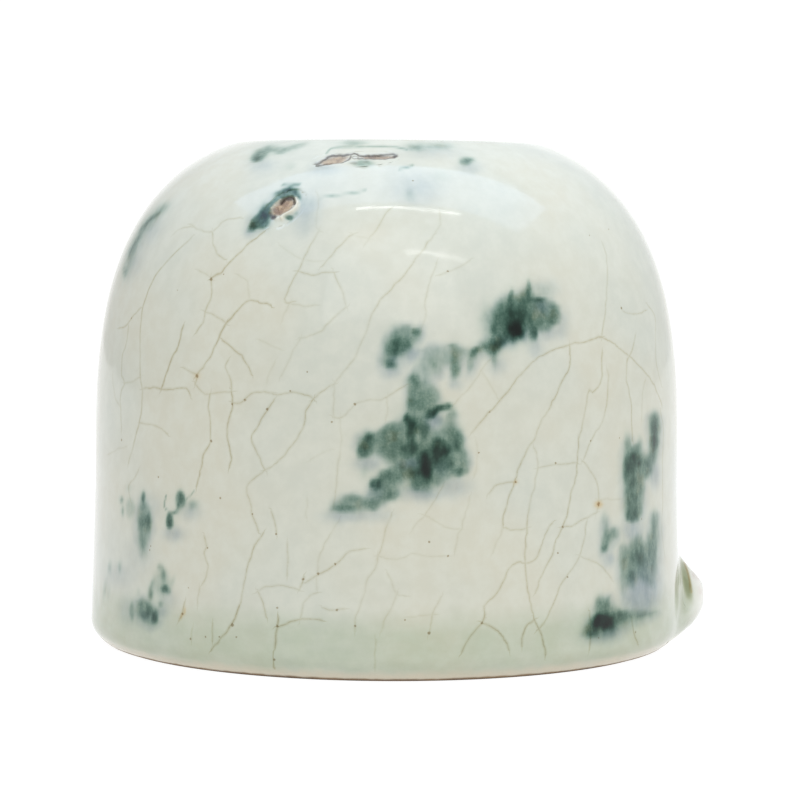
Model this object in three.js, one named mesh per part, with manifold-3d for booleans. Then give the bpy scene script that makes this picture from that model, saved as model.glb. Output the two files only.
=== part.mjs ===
// A domed water pot for calligraphy: two thrown clay halves luted together over a floor and a
// foot ring, with a crackled glaze coat inside and out, a small lug low on one side and two
// bare scars in the glaze where applied pieces have broken off.
// Millimetres, +Z up. The pot faces -Y and its lug points to +X.

import * as THREE from 'three';
import { mergeVertices } from 'three/addons/utils/BufferGeometryUtils.js';
import Module from 'manifold-3d';

const wasm = await Module();
wasm.setup();

// Outer form, measured over the glaze
const POT_HEIGHT = 92;
const WALL_RADIUS = 54.25; // where the upright wall turns into the dome
const WALL_FLARE = 0.88; // how much further out the wall would meet the table
const DOME_START = 28.6; // height at which the dome begins
const DOME_SQUARENESS = 3.11; // 2 rounds the dome as an ellipse, more makes it boxier
const RIM_RADIUS = 28.3; // outer edge of the flat-topped rim
const FOOT_CORNER = 4.5; // round at the bottom of the wall
const FOOT_WEAR = 0.26; // how much of that round is ground away flat

// Walls, coats and the mouth
const CLAY_WALL = 3;
const GLAZE = 0.8;
const FIT_GAP = 0.3;
const MOUTH_RADIUS = 24.5;
const FLOOR_CLAY = 4;
const INNER_CORNER = 6; // round between the floor and the wall inside
const SEAM_HEIGHT = 48.5; // where the dome's clay begins outside
const SEAM_LAP = 4; // how far the drum's inner half reaches up inside the dome

// Foot
const RECESS_DEPTH = 3; // hollow under the floor, inside the foot ring
const FOOT_WIDTH = 6; // how wide the resting face is
const BARE_EDGE = 1.2; // height at which the outer glaze stops

// Applied lug, at +X
const LUG_MIDDLE = 8.9; // height of its tip
const LUG_REACH = 4.7; // how far the tip stands out of the wall
const LUG_HEIGHT = 26; // of its whole bell, skirt included
const LUG_WIDTH = 20;
const LUG_SINK = 1.2; // how far its skirt runs in under the surface
const LUG_ROOT = 4; // how far its root runs in before the wall trims it
const LUG_BLUNTNESS = 2.2; // powers that shape its bell-shaped section
const LUG_TAPER = 2.3;
const HOLLOW_OUT = 1.9; // middle of the hollow in its near side, out from the wall
const HOLLOW_SIDE = 5.6; // and towards the front, from the lug's middle
const HOLLOW_UP = 1.6; // and up, from the lug's tip
const HOLLOW_HEIGHT = 6.5;
const HOLLOW_WIDTH = 2.4;
const HOLLOW_DEPTH = 4.6;

// Bare scars: angles in degrees from the front towards the lug, drops down from the rim
const SHOULDER_SCAR_ANGLE = -23.6;
const SHOULDER_SCAR_DROP = 12;
const SHOULDER_SCAR_LENGTH = 7;
const SHOULDER_SCAR_WIDTH = 4.4;
const SHOULDER_SCAR_TILT = 42;
const CROWN_SCAR_ANGLE = -8.4;
const CROWN_SCAR_DROP = 3.5;
const CROWN_SCAR_LENGTH = 14.6;
const CROWN_SCAR_WIDTH = 3.2;
const CROWN_SCAR_TILT = 5;
const SCAR_SINK = 0.2; // how far the bare clay lies below the glaze round it

// Fineness of the round shapes
const ROUND_STEPS = 48;
const CORNER_STEPS = 4;
const DOME_STEPS = 12;
const LUG_STEPS = 9;
const SCAR_STEPS = 20;
const LEAST_STEP = 0.4; // no two points of an outline are nearer than this in height
const SLOPE_STEP = 0.01; // over which a slope is measured
const HALVINGS = 40; // when looking for the height of a point
const MERGE_WITHIN = 1e-4;

// Depths below the outer surface, from the outside in
const clayDepth = GLAZE + FIT_GAP;
const boreDepth = clayDepth + CLAY_WALL;
const liningDepth = boreDepth + FIT_GAP;
const cavityDepth = liningDepth + GLAZE;

// The round at the foot and the full height of the dome's curve
const cornerMiddle = FOOT_CORNER - FOOT_WEAR;
const cornerCentre = wallRadius(cornerMiddle) - FOOT_CORNER;
const rimShare = (RIM_RADIUS / WALL_RADIUS) ** DOME_SQUARENESS;
const domeReach = (POT_HEIGHT - DOME_START) / (1 - rimShare) ** (1 / DOME_SQUARENESS);

// Sizes that neighbours share
const floorTop = RECESS_DEPTH + FLOOR_CLAY;
const drumBore = radiusAt(floorTop, boreDepth);
const footInner = outerRadius(0) - FOOT_WIDTH;
const spigotTop = SEAM_HEIGHT + SEAM_LAP;
const lugTip = outerRadius(LUG_MIDDLE) + LUG_REACH;

function wallRadius(height) {
  return WALL_RADIUS + WALL_FLARE * (1 - height / DOME_START);
}

// Radius of the pot over its glaze: a round at the foot, a straight wall, then the dome
function outerRadius(height) {
  if (height < cornerMiddle) {
    return cornerCentre + Math.sqrt(FOOT_CORNER ** 2 - (cornerMiddle - height) ** 2);
  }
  if (height < DOME_START) return wallRadius(height);
  const rise = ((height - DOME_START) / domeReach) ** DOME_SQUARENESS;
  return WALL_RADIUS * (1 - rise) ** (1 / DOME_SQUARENESS);
}

// Slope of the outline, as radius gained for each millimetre of height
function outerSlope(height) {
  const low = Math.max(height - SLOPE_STEP, 0);
  const high = Math.min(height + SLOPE_STEP, POT_HEIGHT);
  return (outerRadius(high) - outerRadius(low)) / (high - low);
}

// The point that lies depth below the outer surface, square to it
function insetPoint(height, depth) {
  const slope = outerSlope(height);
  const length = Math.hypot(1, slope);
  return new THREE.Vector2(outerRadius(height) - depth / length, height + (depth * slope) / length);
}

// Radius at a height of the surface that lies depth below the outer one
function radiusAt(height, depth) {
  let low = 0;
  let high = POT_HEIGHT;
  for (let halving = 0; halving < HALVINGS; halving += 1) {
    const middle = (low + high) / 2;
    if (insetPoint(middle, depth).y < height) low = middle;
    else high = middle;
  }
  return insetPoint(low, depth).x;
}

// Heights at which every outline has its points, closer together towards the rim
function levels() {
  const heights = [];
  for (let i = 0; i < CORNER_STEPS; i += 1) heights.push((cornerMiddle * i) / CORNER_STEPS);
  heights.push(cornerMiddle);
  for (let i = 0; i <= DOME_STEPS; i += 1) {
    const share = i / DOME_STEPS;
    heights.push(DOME_START + (POT_HEIGHT - DOME_START) * share * (2 - share));
  }
  return heights;
}

// The outline from one height up to another of the surface that lies depth below the outer one
function outline(depth, from, to) {
  const inner = levels()
    .map((height) => insetPoint(height, depth))
    .filter((point) => point.y > from + LEAST_STEP && point.y < to - LEAST_STEP);
  const first = new THREE.Vector2(radiusAt(from, depth), from);
  const last = new THREE.Vector2(radiusAt(to, depth), to);
  return [first, ...inner, last];
}

function corner(radius, height) {
  return new THREE.Vector2(radius, height);
}

// Leaves only shared positions, without the slivers that a lathe makes on its axis
function cleaned(geometry) {
  geometry.deleteAttribute('normal');
  geometry.deleteAttribute('uv');
  const merged = mergeVertices(geometry, MERGE_WITHIN);
  const { array } = merged.index;
  const kept = [];
  for (let i = 0; i < array.length; i += 3) {
    const [a, b, c] = array.slice(i, i + 3);
    if (a !== b && b !== c && c !== a) kept.push(a, b, c);
  }
  merged.setIndex(kept);
  return merged;
}

// A ring or disc turned about the pot's axis from a closed outline, listed anticlockwise
function turned(points) {
  const closed = points[0].x === 0 ? points : [...points, points[0].clone()];
  return cleaned(new THREE.LatheGeometry(closed, ROUND_STEPS).rotateX(Math.PI / 2));
}

function solidOf(geometry) {
  return new wasm.Manifold(
    new wasm.Mesh({
      numProp: 3,
      vertProperties: Float32Array.from(geometry.attributes.position.array),
      triVerts: Uint32Array.from(geometry.index.array),
    }),
  );
}

function geometryOf(solid) {
  const { vertProperties, triVerts } = solid.getMesh();
  const geometry = new THREE.BufferGeometry();
  geometry.setAttribute('position', new THREE.BufferAttribute(vertProperties, 3));
  geometry.setIndex(new THREE.BufferAttribute(triVerts, 1));
  return geometry;
}

function named(name, geometry, color, roughness) {
  geometry.computeVertexNormals();
  const material = new THREE.MeshStandardMaterial({ color, roughness, metalness: 0 });
  const mesh = new THREE.Mesh(geometry, material);
  mesh.name = name;
  return mesh;
}

// Lower wall, with the inner half of its top edge raised to lap into the dome
function wallDrum() {
  const lapDepth = clayDepth + (CLAY_WALL + FIT_GAP) / 2;
  return turned([
    corner(drumBore, RECESS_DEPTH),
    ...outline(clayDepth, RECESS_DEPTH, SEAM_HEIGHT),
    ...outline(lapDepth, SEAM_HEIGHT, spigotTop),
    ...outline(boreDepth, floorTop, spigotTop).reverse(),
  ]);
}

// Upper half, whose outer skirt sits on the drum's shoulder, up to the mouth
function shoulderDome() {
  const skirtDepth = clayDepth + (CLAY_WALL - FIT_GAP) / 2;
  const skirtTop = spigotTop + FIT_GAP;
  const rimTop = POT_HEIGHT - clayDepth;
  const mouthBore = MOUTH_RADIUS + clayDepth;
  return turned([
    ...outline(clayDepth, SEAM_HEIGHT, rimTop),
    corner(mouthBore, rimTop),
    corner(mouthBore, POT_HEIGHT - boreDepth),
    ...outline(boreDepth, skirtTop, POT_HEIGHT - boreDepth).reverse(),
    ...outline(skirtDepth, SEAM_HEIGHT, skirtTop).reverse(),
  ]);
}

// Clay floor, inside the drum and on the foot ring
function floorDisc() {
  const radius = drumBore - FIT_GAP;
  return turned([
    corner(0, RECESS_DEPTH),
    corner(radius, RECESS_DEPTH),
    corner(radius, floorTop),
    corner(0, floorTop),
  ]);
}

// Bare ring that the pot stands on, with a ledge where the outer glaze stops
function footRing() {
  return turned([
    corner(footInner, 0),
    ...outline(0, 0, BARE_EDGE),
    ...outline(clayDepth, BARE_EDGE, RECESS_DEPTH),
    corner(footInner, RECESS_DEPTH),
  ]);
}

// Coat in the recess under the floor
function baseGlaze() {
  const radius = footInner - FIT_GAP;
  return turned([
    corner(0, RECESS_DEPTH - GLAZE),
    corner(radius, RECESS_DEPTH - GLAZE),
    corner(radius, RECESS_DEPTH),
    corner(0, RECESS_DEPTH),
  ]);
}

// Coat inside: over the floor, round the inner corner, up the wall and up the mouth's bore
function innerGlaze() {
  const bowlFloor = floorTop + GLAZE;
  const bowlTop = bowlFloor + INNER_CORNER;
  const bendCentre = radiusAt(bowlTop, cavityDepth) - INNER_CORNER;
  const bend = [];
  for (let i = 0; i < CORNER_STEPS; i += 1) {
    const angle = (i / CORNER_STEPS) * (Math.PI / 2);
    const out = INNER_CORNER * Math.sin(angle);
    const up = INNER_CORNER * (1 - Math.cos(angle));
    bend.push(corner(bendCentre + out, bowlFloor + up));
  }
  return turned([
    corner(0, floorTop),
    corner(drumBore - FIT_GAP, floorTop),
    ...outline(liningDepth, bowlFloor, POT_HEIGHT - liningDepth),
    corner(MOUTH_RADIUS + GLAZE, POT_HEIGHT - liningDepth),
    corner(MOUTH_RADIUS + GLAZE, POT_HEIGHT - clayDepth),
    corner(MOUTH_RADIUS, POT_HEIGHT - clayDepth),
    corner(MOUTH_RADIUS, POT_HEIGHT - cavityDepth),
    ...outline(cavityDepth, bowlTop, POT_HEIGHT - cavityDepth).reverse(),
    ...bend.reverse(),
    corner(0, bowlFloor),
  ]);
}

// Bell-shaped lump that grows out of the wall at +X, made larger all round by grow
function lugBell(grow) {
  const points = [corner(0, -LUG_ROOT), corner(1, -LUG_ROOT)];
  for (let i = LUG_STEPS; i >= 0; i -= 1) {
    const share = i / LUG_STEPS;
    const bell = (1 - share ** LUG_BLUNTNESS) ** LUG_TAPER;
    points.push(corner(share, (LUG_REACH + grow + LUG_SINK) * bell - LUG_SINK));
  }
  const bell = new THREE.LatheGeometry(points, 2 * SCAR_STEPS);
  bell.scale(LUG_WIDTH / 2 + grow, 1, LUG_HEIGHT / 2 + grow);
  bell.rotateZ(-Math.PI / 2);
  bell.translate(outerRadius(LUG_MIDDLE), 0, LUG_MIDDLE);
  return solidOf(cleaned(bell));
}

// Everything that lies inside the surface at this depth, and everything below the bare edge
function potCore(depth) {
  const pastLug = lugTip + LUG_REACH;
  const top = POT_HEIGHT - depth;
  return solidOf(
    turned([
      corner(0, -LUG_HEIGHT),
      corner(pastLug, -LUG_HEIGHT),
      corner(pastLug, BARE_EDGE),
      ...outline(depth, BARE_EDGE, top),
      corner(0, top),
    ]),
  );
}

// Lug with the leaf-shaped hollow in its near side
function footLug() {
  const hollow = new THREE.SphereGeometry(0.5, SCAR_STEPS, SCAR_STEPS / 2);
  hollow.scale(HOLLOW_WIDTH, HOLLOW_DEPTH, HOLLOW_HEIGHT);
  hollow.translate(outerRadius(LUG_MIDDLE) + HOLLOW_OUT, -HOLLOW_SIDE, LUG_MIDDLE + HOLLOW_UP);
  return geometryOf(lugBell(0).subtract(potCore(GLAZE)).subtract(solidOf(cleaned(hollow))));
}

// Oval plug that stands square on the dome, centred on a scar, made larger all round by grow
function scarPlug(scar, grow) {
  const slope = outerSlope(scar.height);
  const turn = THREE.MathUtils.degToRad(scar.angle);
  const out = new THREE.Vector3(Math.sin(turn), -Math.cos(turn), 0);
  const across = new THREE.Vector3(Math.cos(turn), Math.sin(turn), 0);
  const normal = new THREE.Vector3(out.x, out.y, -slope).normalize();
  const long = across.clone().applyAxisAngle(normal, THREE.MathUtils.degToRad(scar.tilt));
  const wide = long.clone().cross(normal);
  const plug = new THREE.CylinderGeometry(1, 1, 4 * clayDepth, SCAR_STEPS);
  plug.scale(scar.length / 2 + grow, 1, scar.width / 2 + grow);
  plug.applyMatrix4(new THREE.Matrix4().makeBasis(long, normal, wide));
  const place = out.multiplyScalar(outerRadius(scar.height));
  plug.translate(place.x, place.y, scar.height);
  return solidOf(cleaned(plug));
}

// Bare clay that fills a hole in the glaze, a little below it
function scarStub(scar) {
  const skin = turned([
    ...outline(SCAR_SINK, DOME_START, POT_HEIGHT - SCAR_SINK),
    ...outline(GLAZE, DOME_START, POT_HEIGHT - GLAZE).reverse(),
  ]);
  return geometryOf(solidOf(skin).intersect(scarPlug(scar, 0)));
}

// Coat outside, from the bare edge over the rim to the mouth, with holes round the applied clay
function outerGlaze(scars) {
  const coat = turned([
    ...outline(0, BARE_EDGE, POT_HEIGHT),
    corner(MOUTH_RADIUS, POT_HEIGHT),
    corner(MOUTH_RADIUS, POT_HEIGHT - GLAZE),
    ...outline(GLAZE, BARE_EDGE, POT_HEIGHT - GLAZE).reverse(),
  ]);
  let solid = solidOf(coat).subtract(lugBell(FIT_GAP));
  for (const scar of scars) solid = solid.subtract(scarPlug(scar, FIT_GAP));
  return geometryOf(solid);
}

const shoulderScar = {
  angle: SHOULDER_SCAR_ANGLE,
  height: POT_HEIGHT - SHOULDER_SCAR_DROP,
  length: SHOULDER_SCAR_LENGTH,
  width: SHOULDER_SCAR_WIDTH,
  tilt: SHOULDER_SCAR_TILT,
};
const crownScar = {
  angle: CROWN_SCAR_ANGLE,
  height: POT_HEIGHT - CROWN_SCAR_DROP,
  length: CROWN_SCAR_LENGTH,
  width: CROWN_SCAR_WIDTH,
  tilt: CROWN_SCAR_TILT,
};

const pot = new THREE.Group();
pot.add(
  named('wall_drum', wallDrum(), 0xc8ab8d, 0.9),
  named('shoulder_dome', shoulderDome(), 0xc4a687, 0.9),
  named('floor_disc', floorDisc(), 0xbd9f80, 0.9),
  named('foot_ring', footRing(), 0xb58f6d, 0.85),
  named('foot_lug', footLug(), 0xdfded1, 0.2),
  named('shoulder_stub', scarStub(shoulderScar), 0xc9a08a, 0.75),
  named('crown_stub', scarStub(crownScar), 0xc29a86, 0.75),
  named('outer_glaze', outerGlaze([shoulderScar, crownScar]), 0xdde3d9, 0.12),
  named('inner_glaze', innerGlaze(), 0xd9dfd4, 0.15),
  named('base_glaze', baseGlaze(), 0xdbe0d6, 0.2),
);

// The origin is at the middle of the whole pot, lug included, on the table
pot.position.x = (outerRadius(cornerMiddle) - lugTip) / 2;

export default pot;
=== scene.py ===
import math

import bpy
import numpy as np
from mathutils import Matrix, Vector, noise


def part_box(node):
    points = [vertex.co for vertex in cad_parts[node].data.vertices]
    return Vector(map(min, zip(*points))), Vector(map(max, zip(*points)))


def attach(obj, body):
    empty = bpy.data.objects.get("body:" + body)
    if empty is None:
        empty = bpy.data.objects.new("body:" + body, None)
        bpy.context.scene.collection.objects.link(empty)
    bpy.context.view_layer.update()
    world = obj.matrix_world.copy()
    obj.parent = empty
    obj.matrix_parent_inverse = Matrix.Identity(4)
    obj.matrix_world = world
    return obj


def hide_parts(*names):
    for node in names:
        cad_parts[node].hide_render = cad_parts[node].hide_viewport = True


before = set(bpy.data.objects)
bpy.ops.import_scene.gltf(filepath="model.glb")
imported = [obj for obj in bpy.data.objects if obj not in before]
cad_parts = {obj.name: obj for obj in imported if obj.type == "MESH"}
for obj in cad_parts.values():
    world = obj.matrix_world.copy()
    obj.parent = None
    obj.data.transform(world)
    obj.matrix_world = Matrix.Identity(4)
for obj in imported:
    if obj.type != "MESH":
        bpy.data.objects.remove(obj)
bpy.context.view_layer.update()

# A domed ceramic water pot with a crackled pale glaze, blue-green splashes, a small lug at its foot
# and two bare scars. Sizes are in millimetres on the pot's own axis, and the scene is in metres.
MM = 0.001
drum_low, drum_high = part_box("wall_drum")
AXIS_X = (drum_low.x + drum_high.x) / 2
POT_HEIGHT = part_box("outer_glaze")[1].z / MM

# Outer form, as in the part
WALL_RADIUS = 54.25
WALL_FLARE = 0.88
DOME_START = 28.6
DOME_SQUARENESS = 3.11
RIM_RADIUS = 28.3
FOOT_CORNER = 4.5
FOOT_WEAR = 0.26
GLAZE = 0.8
FIT_GAP = 0.3
CLAY_WALL = 3.0
MOUTH_RADIUS = 24.5
FLOOR_TOP = 7.0
INNER_CORNER = 6.0
RECESS_DEPTH = 3.0
BARE_EDGE = 1.2
FOOT_WIDTH = 6.0

# Lug, at azimuth 90 degrees, which is +X
LUG_AZIMUTH = 90.0
LUG_REACH = 4.7
LUG_NARROW = 0.6  # its width at its top as a share of its width below
LUG_STEEPNESS = 1.4
LUG_CALM = 2.0  # its lumps die away where it stands out less than this
LUG_PROUD = 1.0  # it turns white where it stands out more than this, and over this much more: partly thinner glaze, partly a painted highlight
LUG_PROUD_OVER = 3.0
LUG_HALF_WIDTH = 12.5
LUG_TOP = 18.4
LUG_SHOULDER = 8.9  # how far down from its top it reaches its full depth
LUG_BELLY = 6.8  # it draws in again below this height
LUG_HEEL = 1.8  # how far below the table it would run out
LUG_SKIRT = 4.5  # how much further it spreads to each side at the foot
LUG_SKIRT_TOP = 9.0  # the skirts begin at this height, and are full this much lower
LUG_SKIRT_FALL = 8.0
LUG_LOWEST = 0.35
LUG_TUCK = 0.9  # how far it draws in at the table, from what height, and over how much of it
LUG_TUCK_TOP = 1.6
LUG_TUCK_FALL = 1.3
LUG_HOLLOW = ((-7.2, 9.4), 1.5, 3.3)  # middle, half width and half height of the hollow in its side
LUG_HOLLOW_DEPTH = 0.8
LUG_BACK = 1.1  # how deep its back lies under the outer surface
LUG_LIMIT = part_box("foot_lug")[1].x / MM - AXIS_X / MM - 0.01
LUG_DENT = 0.5  # how far the coat is sunk under it
LUG_DENT_EDGE = 0.3  # only where the lug stands out more than this
LUG_DENT_SLOPE = 0.6

# Bare scars. Edges and slopes are shares of the way from the middle of a patch to its rim
SCAR_DENT = 0.9  # how far the coat is sunk under them
SCAR_DENT_EDGE = 0.92
SCAR_DENT_SLOPE = 0.1
SCAR_EDGE = 0.95  # their relief ends here
SCAR_EDGE_SLOPE = 0.15
SCAR_LIP = 0.35  # height of the lip of glaze round them
SCAR_DEPTH = 0.35
BURNT_DEPTH = 0.15
SCAR_BACK = 1.2  # how thick their patch is
SCAR_SHAKE = 0.7  # how many pixels their drawing wanders
SCAR_SHAKE_SIZE = 0.9
SCAR_SHIFTS = (4.4, 14.4)
JUST_UNDER = 0.012  # how far patches stay under the coat's own surface

# Softness that only the look has
LIP_RADIUS = 1.1  # round from the rim's top into the mouth
RIM_EDGE = 1.4  # round between the dome and the rim's flat top
WOBBLE = 0.22  # how far the thrown surface wanders inwards
WOBBLE_CALM = 8.0  # it dies away over this height below the rim
EDGE_WAVE = 0.35  # how far the glaze's lower edge wanders up and down
EDGE_CIRCLE = 40.0  # radius at which its waves are as long as they are listed
EDGE_FOLLOWS = 5.0  # how far up the coat follows them
EDGE_ROLL = 0.1  # how far the coat draws in at its edge
EDGE_ROLL_SIZE = 0.4
EDGE_BEHIND = 0.25  # how much higher the coat's edge lies behind
LIP_LEAN = 0.2  # how much wider the back of the coat's lip is at its top
WORN_EDGE = 0.5  # round of the foot ring's edges
LEDGE_LOW = 0.7  # how far over the bare edge the ring steps in behind the coat
LEDGE_HIGH = 0.9
EVEN_BELOW = 0.02  # what stands on the table stays even, and so does the ring's inside
EVEN_INSIDE = 2.0
FOOT_DRAWN_IN = 0.1
FOOT_GRAIN = 0.03
FOOT_GRAIN_SIZE = 3.0
THROAT = 1.0  # how far the glaze slopes from the dome's inside into the mouth
THROAT_RISE = 0.3
RING_DEPTH = 0.18  # the thrower's rings inside
RING_SIZE = 1.05
RINGS_ABOVE_FLOOR = 3.0
RINGS_BELOW_RIM = 8.0
BASE_WAVE = 0.05  # how uneven the glaze under the pot is
BASE_WAVE_SIZE = 2.3
BASE_EDGE = 0.5  # its edge is this much thinner than the coat
BASE_FLAT = 1.0  # the waves run from this far off its middle to this far within its edge
BASE_MARGIN = 0.6

# Layers of unevenness, each its height, size and shift through the noise
WOBBLES = ((0.4, 34.0, 0.0), (0.12, 34.0 / 3, 7.3))
EDGE_WAVES = ((0.9, 14.0, 3.1), (0.35, 4.0, 9.7))
LUG_LUMPS = ((0.22, 4.2, 5.5), (0.08, 1.5, 8.5))
SCAR_LUMPS = ((0.14, 1.1, 6.6), (0.1, 0.5, 1.6))

# Fineness
COLUMN_ZONES = ((-97.0, -60.0, 41), (-60.0, 60.0, 300), (60.0, 97.0, 41), (97.0, 263.0, 62))
FINE_BELOW = 60.0  # the coat's rows are closer below this height
LOW_ROWS = 134
HIGH_ROWS = 70
COAT_ROWS = LOW_ROWS + HIGH_ROWS - 1
BACK_ROWS = 8
PATCH_STEP = 0.22
OUTLINE_POINTS = 4001
FACE_POINTS = 3000
RIM_POINTS = 40
LIP_POINTS = 9
FOOT_COLUMNS = 360
INNER_COLUMNS = 240
BASE_COLUMNS = 160
BASE_ROWS = 44
FLOOR_ROWS = 40
WALL_ROWS = 90
SCAR_RINGS = 56
SCAR_SPOKES = 224

# Camera, as fitted to the photograph
PHOTO = 800
CAMERA_AWAY = 514.5
CAMERA_HEIGHT = 78.0
CAMERA_PITCH = math.radians(3.75)
CAMERA_YAW = math.radians(0.274)
CAMERA_ROLL = math.radians(0.39)
LENS = 124.3
SENSOR = 36.0
RAY = (CAMERA_AWAY - 75.0, CAMERA_AWAY + 20.0, 1901)  # where a ray can meet the pot, and its steps

CORNER_MIDDLE = FOOT_CORNER - FOOT_WEAR
CORNER_CENTRE = WALL_RADIUS + WALL_FLARE * (1 - CORNER_MIDDLE / DOME_START) - FOOT_CORNER
RIM_SHARE = (RIM_RADIUS / WALL_RADIUS) ** DOME_SQUARENESS
DOME_REACH = (POT_HEIGHT - DOME_START) / (1 - RIM_SHARE) ** (1 / DOME_SQUARENESS)


# Shape of the pot

def outer_radius(height):
    """Radius over the glaze: a round at the foot, a straight wall, then the dome"""
    z = np.clip(np.asarray(height, float), 0.0, POT_HEIGHT)
    below = np.clip(CORNER_MIDDLE - z, 0.0, FOOT_CORNER)
    foot = CORNER_CENTRE + np.sqrt(FOOT_CORNER**2 - below**2)
    wall = WALL_RADIUS + WALL_FLARE * (1 - z / DOME_START)
    rise = (np.clip(z - DOME_START, 0.0, None) / DOME_REACH) ** DOME_SQUARENESS
    dome = WALL_RADIUS * (1 - rise) ** (1 / DOME_SQUARENESS)
    return np.where(z < CORNER_MIDDLE, foot, np.where(z < DOME_START, wall, dome))


def outer_slope(height):
    """Radius gained for each millimetre of height"""
    step = 0.01
    low = np.clip(np.asarray(height, float) - step, 0.0, POT_HEIGHT)
    high = np.clip(np.asarray(height, float) + step, 0.0, POT_HEIGHT)
    return (outer_radius(high) - outer_radius(low)) / (high - low)


def eased(share):
    """A smooth step from 0 to 1"""
    t = np.clip(share, 0.0, 1.0)
    return t * t * (3 - 2 * t)


def evenly(points, count):
    """The line through these points again, with count points at even distances"""
    points = np.asarray(points, float)
    run = np.concatenate([[0.0], np.cumsum(np.linalg.norm(np.diff(points, axis=0), axis=1))])
    at = np.linspace(0.0, run[-1], count)
    return np.stack([np.interp(at, run, points[:, k]) for k in range(points.shape[1])], axis=1)


def outline(depth, bottom, top, count):
    """Even (radius, height) points of the surface that lies this depth under the outer one"""
    heights = np.linspace(0.0, POT_HEIGHT, OUTLINE_POINTS)
    slope = outer_slope(heights)
    length = np.hypot(1.0, slope)
    radius = outer_radius(heights) - depth / length
    height = heights + depth * slope / length
    kept = (height > bottom) & (height < top)
    first = (np.interp(bottom, height, radius), bottom)
    last = (np.interp(top, height, radius), top)
    return evenly([first, *zip(radius[kept], height[kept]), last], count)


def arc(centre, radius, start, end, count):
    """Points of a round in the (radius, height) plane, with angles in degrees from outwards"""
    angles = np.radians(np.linspace(start, end, count))
    return np.stack([centre[0] + radius * np.cos(angles), centre[1] + radius * np.sin(angles)], axis=1)


def softened(points, corner, reach, count):
    """The same line with its corner at one index rounded off over a reach to both sides"""
    points = np.asarray(points, float)
    before = points[corner - 1] - points[corner]
    after = points[corner + 1] - points[corner]
    start = points[corner] + before / np.linalg.norm(before) * reach
    end = points[corner] + after / np.linalg.norm(after) * reach
    t = np.linspace(0.0, 1.0, count)[:, None]
    bend = (1 - t) ** 2 * start + 2 * t * (1 - t) * points[corner] + t**2 * end
    return np.concatenate([points[:corner], bend, points[corner + 1:]])


meridian_heights = np.linspace(0.0, POT_HEIGHT, OUTLINE_POINTS)
meridian_run = np.concatenate([
    [0.0],
    np.cumsum(np.hypot(np.diff(meridian_heights), np.diff(outer_radius(meridian_heights)))),
])


def run_at(height):
    """Distance along the outline from the table up to a height"""
    return np.interp(height, meridian_heights, meridian_run)


def height_at(run):
    return np.interp(run, meridian_run, meridian_heights)


def placed(azimuth, radius, height):
    """Points in space. Azimuth is in degrees from the front, -Y, towards the lug, +X"""
    turn = np.radians(azimuth)
    return np.stack(np.broadcast_arrays(radius * np.sin(turn), -radius * np.cos(turn), height), axis=-1)


def outward(azimuth, height):
    """Unit normals of the outer surface"""
    slope = outer_slope(height)
    turn = np.radians(azimuth)
    length = np.hypot(1.0, slope)
    parts = (np.sin(turn) / length, -np.cos(turn) / length, -slope / length)
    return np.stack(np.broadcast_arrays(*parts), axis=-1)


def swirl(points, size, shift=0.0):
    """Smooth noise from -1 to 1 at each point, with features of about this size"""
    flat = np.asarray(points, float).reshape(-1, 3) / size + shift
    values = [noise.noise(Vector(p)) for p in flat]
    return np.array(values).reshape(np.asarray(points).shape[:-1])


def lumps(points, layers):
    """Layers of unevenness at each point"""
    return sum(height * swirl(points, size, shift) for height, size, shift in layers)


def sink_at(azimuth, height):
    """How far inside the true outline the thrown surface lies"""
    wobble = WOBBLE * (0.5 + lumps(placed(azimuth, WALL_RADIUS, height), WOBBLES))
    return wobble * np.clip((POT_HEIGHT - height) / WOBBLE_CALM, 0.0, 1.0)


# Meshes

def grid_faces(columns, rows, closed_columns, closed_rows):
    """Quads of a grid whose point (i, j) is number i * rows + j"""
    last_column = columns if closed_columns else columns - 1
    last_row = rows if closed_rows else rows - 1
    i, j = np.meshgrid(np.arange(last_column), np.arange(last_row), indexing="ij")
    right, up = (i + 1) % columns, (j + 1) % rows
    corners = (i * rows + j, right * rows + j, right * rows + up, i * rows + up)
    return np.stack([c.ravel() for c in corners], axis=1)


def linked(thing):
    """The same object, put into the scene"""
    bpy.context.scene.collection.objects.link(thing)
    return thing


def made_piece(name, points, faces, material, replaced, sharp=35.0):
    """A smooth-shaded mesh piece from millimetre points on the pot's axis"""
    mesh = bpy.data.meshes.new(name)
    places = np.asarray(points, float).reshape(-1, 3) * MM + (AXIS_X, 0.0, 0.0)
    mesh.from_pydata(places.tolist(), [], faces.tolist() if hasattr(faces, "tolist") else faces)
    mesh.polygons.foreach_set("use_smooth", np.ones(len(mesh.polygons), bool))
    mesh.set_sharp_from_angle(angle=math.radians(sharp))
    mesh.materials.append(material)
    mesh.update()
    piece = linked(bpy.data.objects.new(name, mesh))
    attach(piece, "root")
    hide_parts(*replaced)
    return piece


def store(piece, name, values):
    """Keeps a number, or three, for each point of a piece, which its material reads"""
    values = np.asarray(values, np.float32)
    kind, field = ("FLOAT", "value") if values.ndim == 1 else ("FLOAT_VECTOR", "vector")
    piece.data.attributes.new(name, kind, "POINT").data.foreach_set(field, values.ravel())


def turned(section, azimuth):
    """Points of a section turned round the axis, shaped (azimuths, rows, 3)"""
    section = np.asarray(section, float)
    return placed(azimuth[:, None], section[None, :, 0], section[None, :, 1])


def coat_turns():
    """Azimuths of the coat's columns, which stand closer together on the side that the camera sees"""
    turns = [np.linspace(start, end, count, endpoint=False) for start, end, count in COLUMN_ZONES]
    return (np.concatenate(turns) + 180.0) % 360.0 - 180.0


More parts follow.
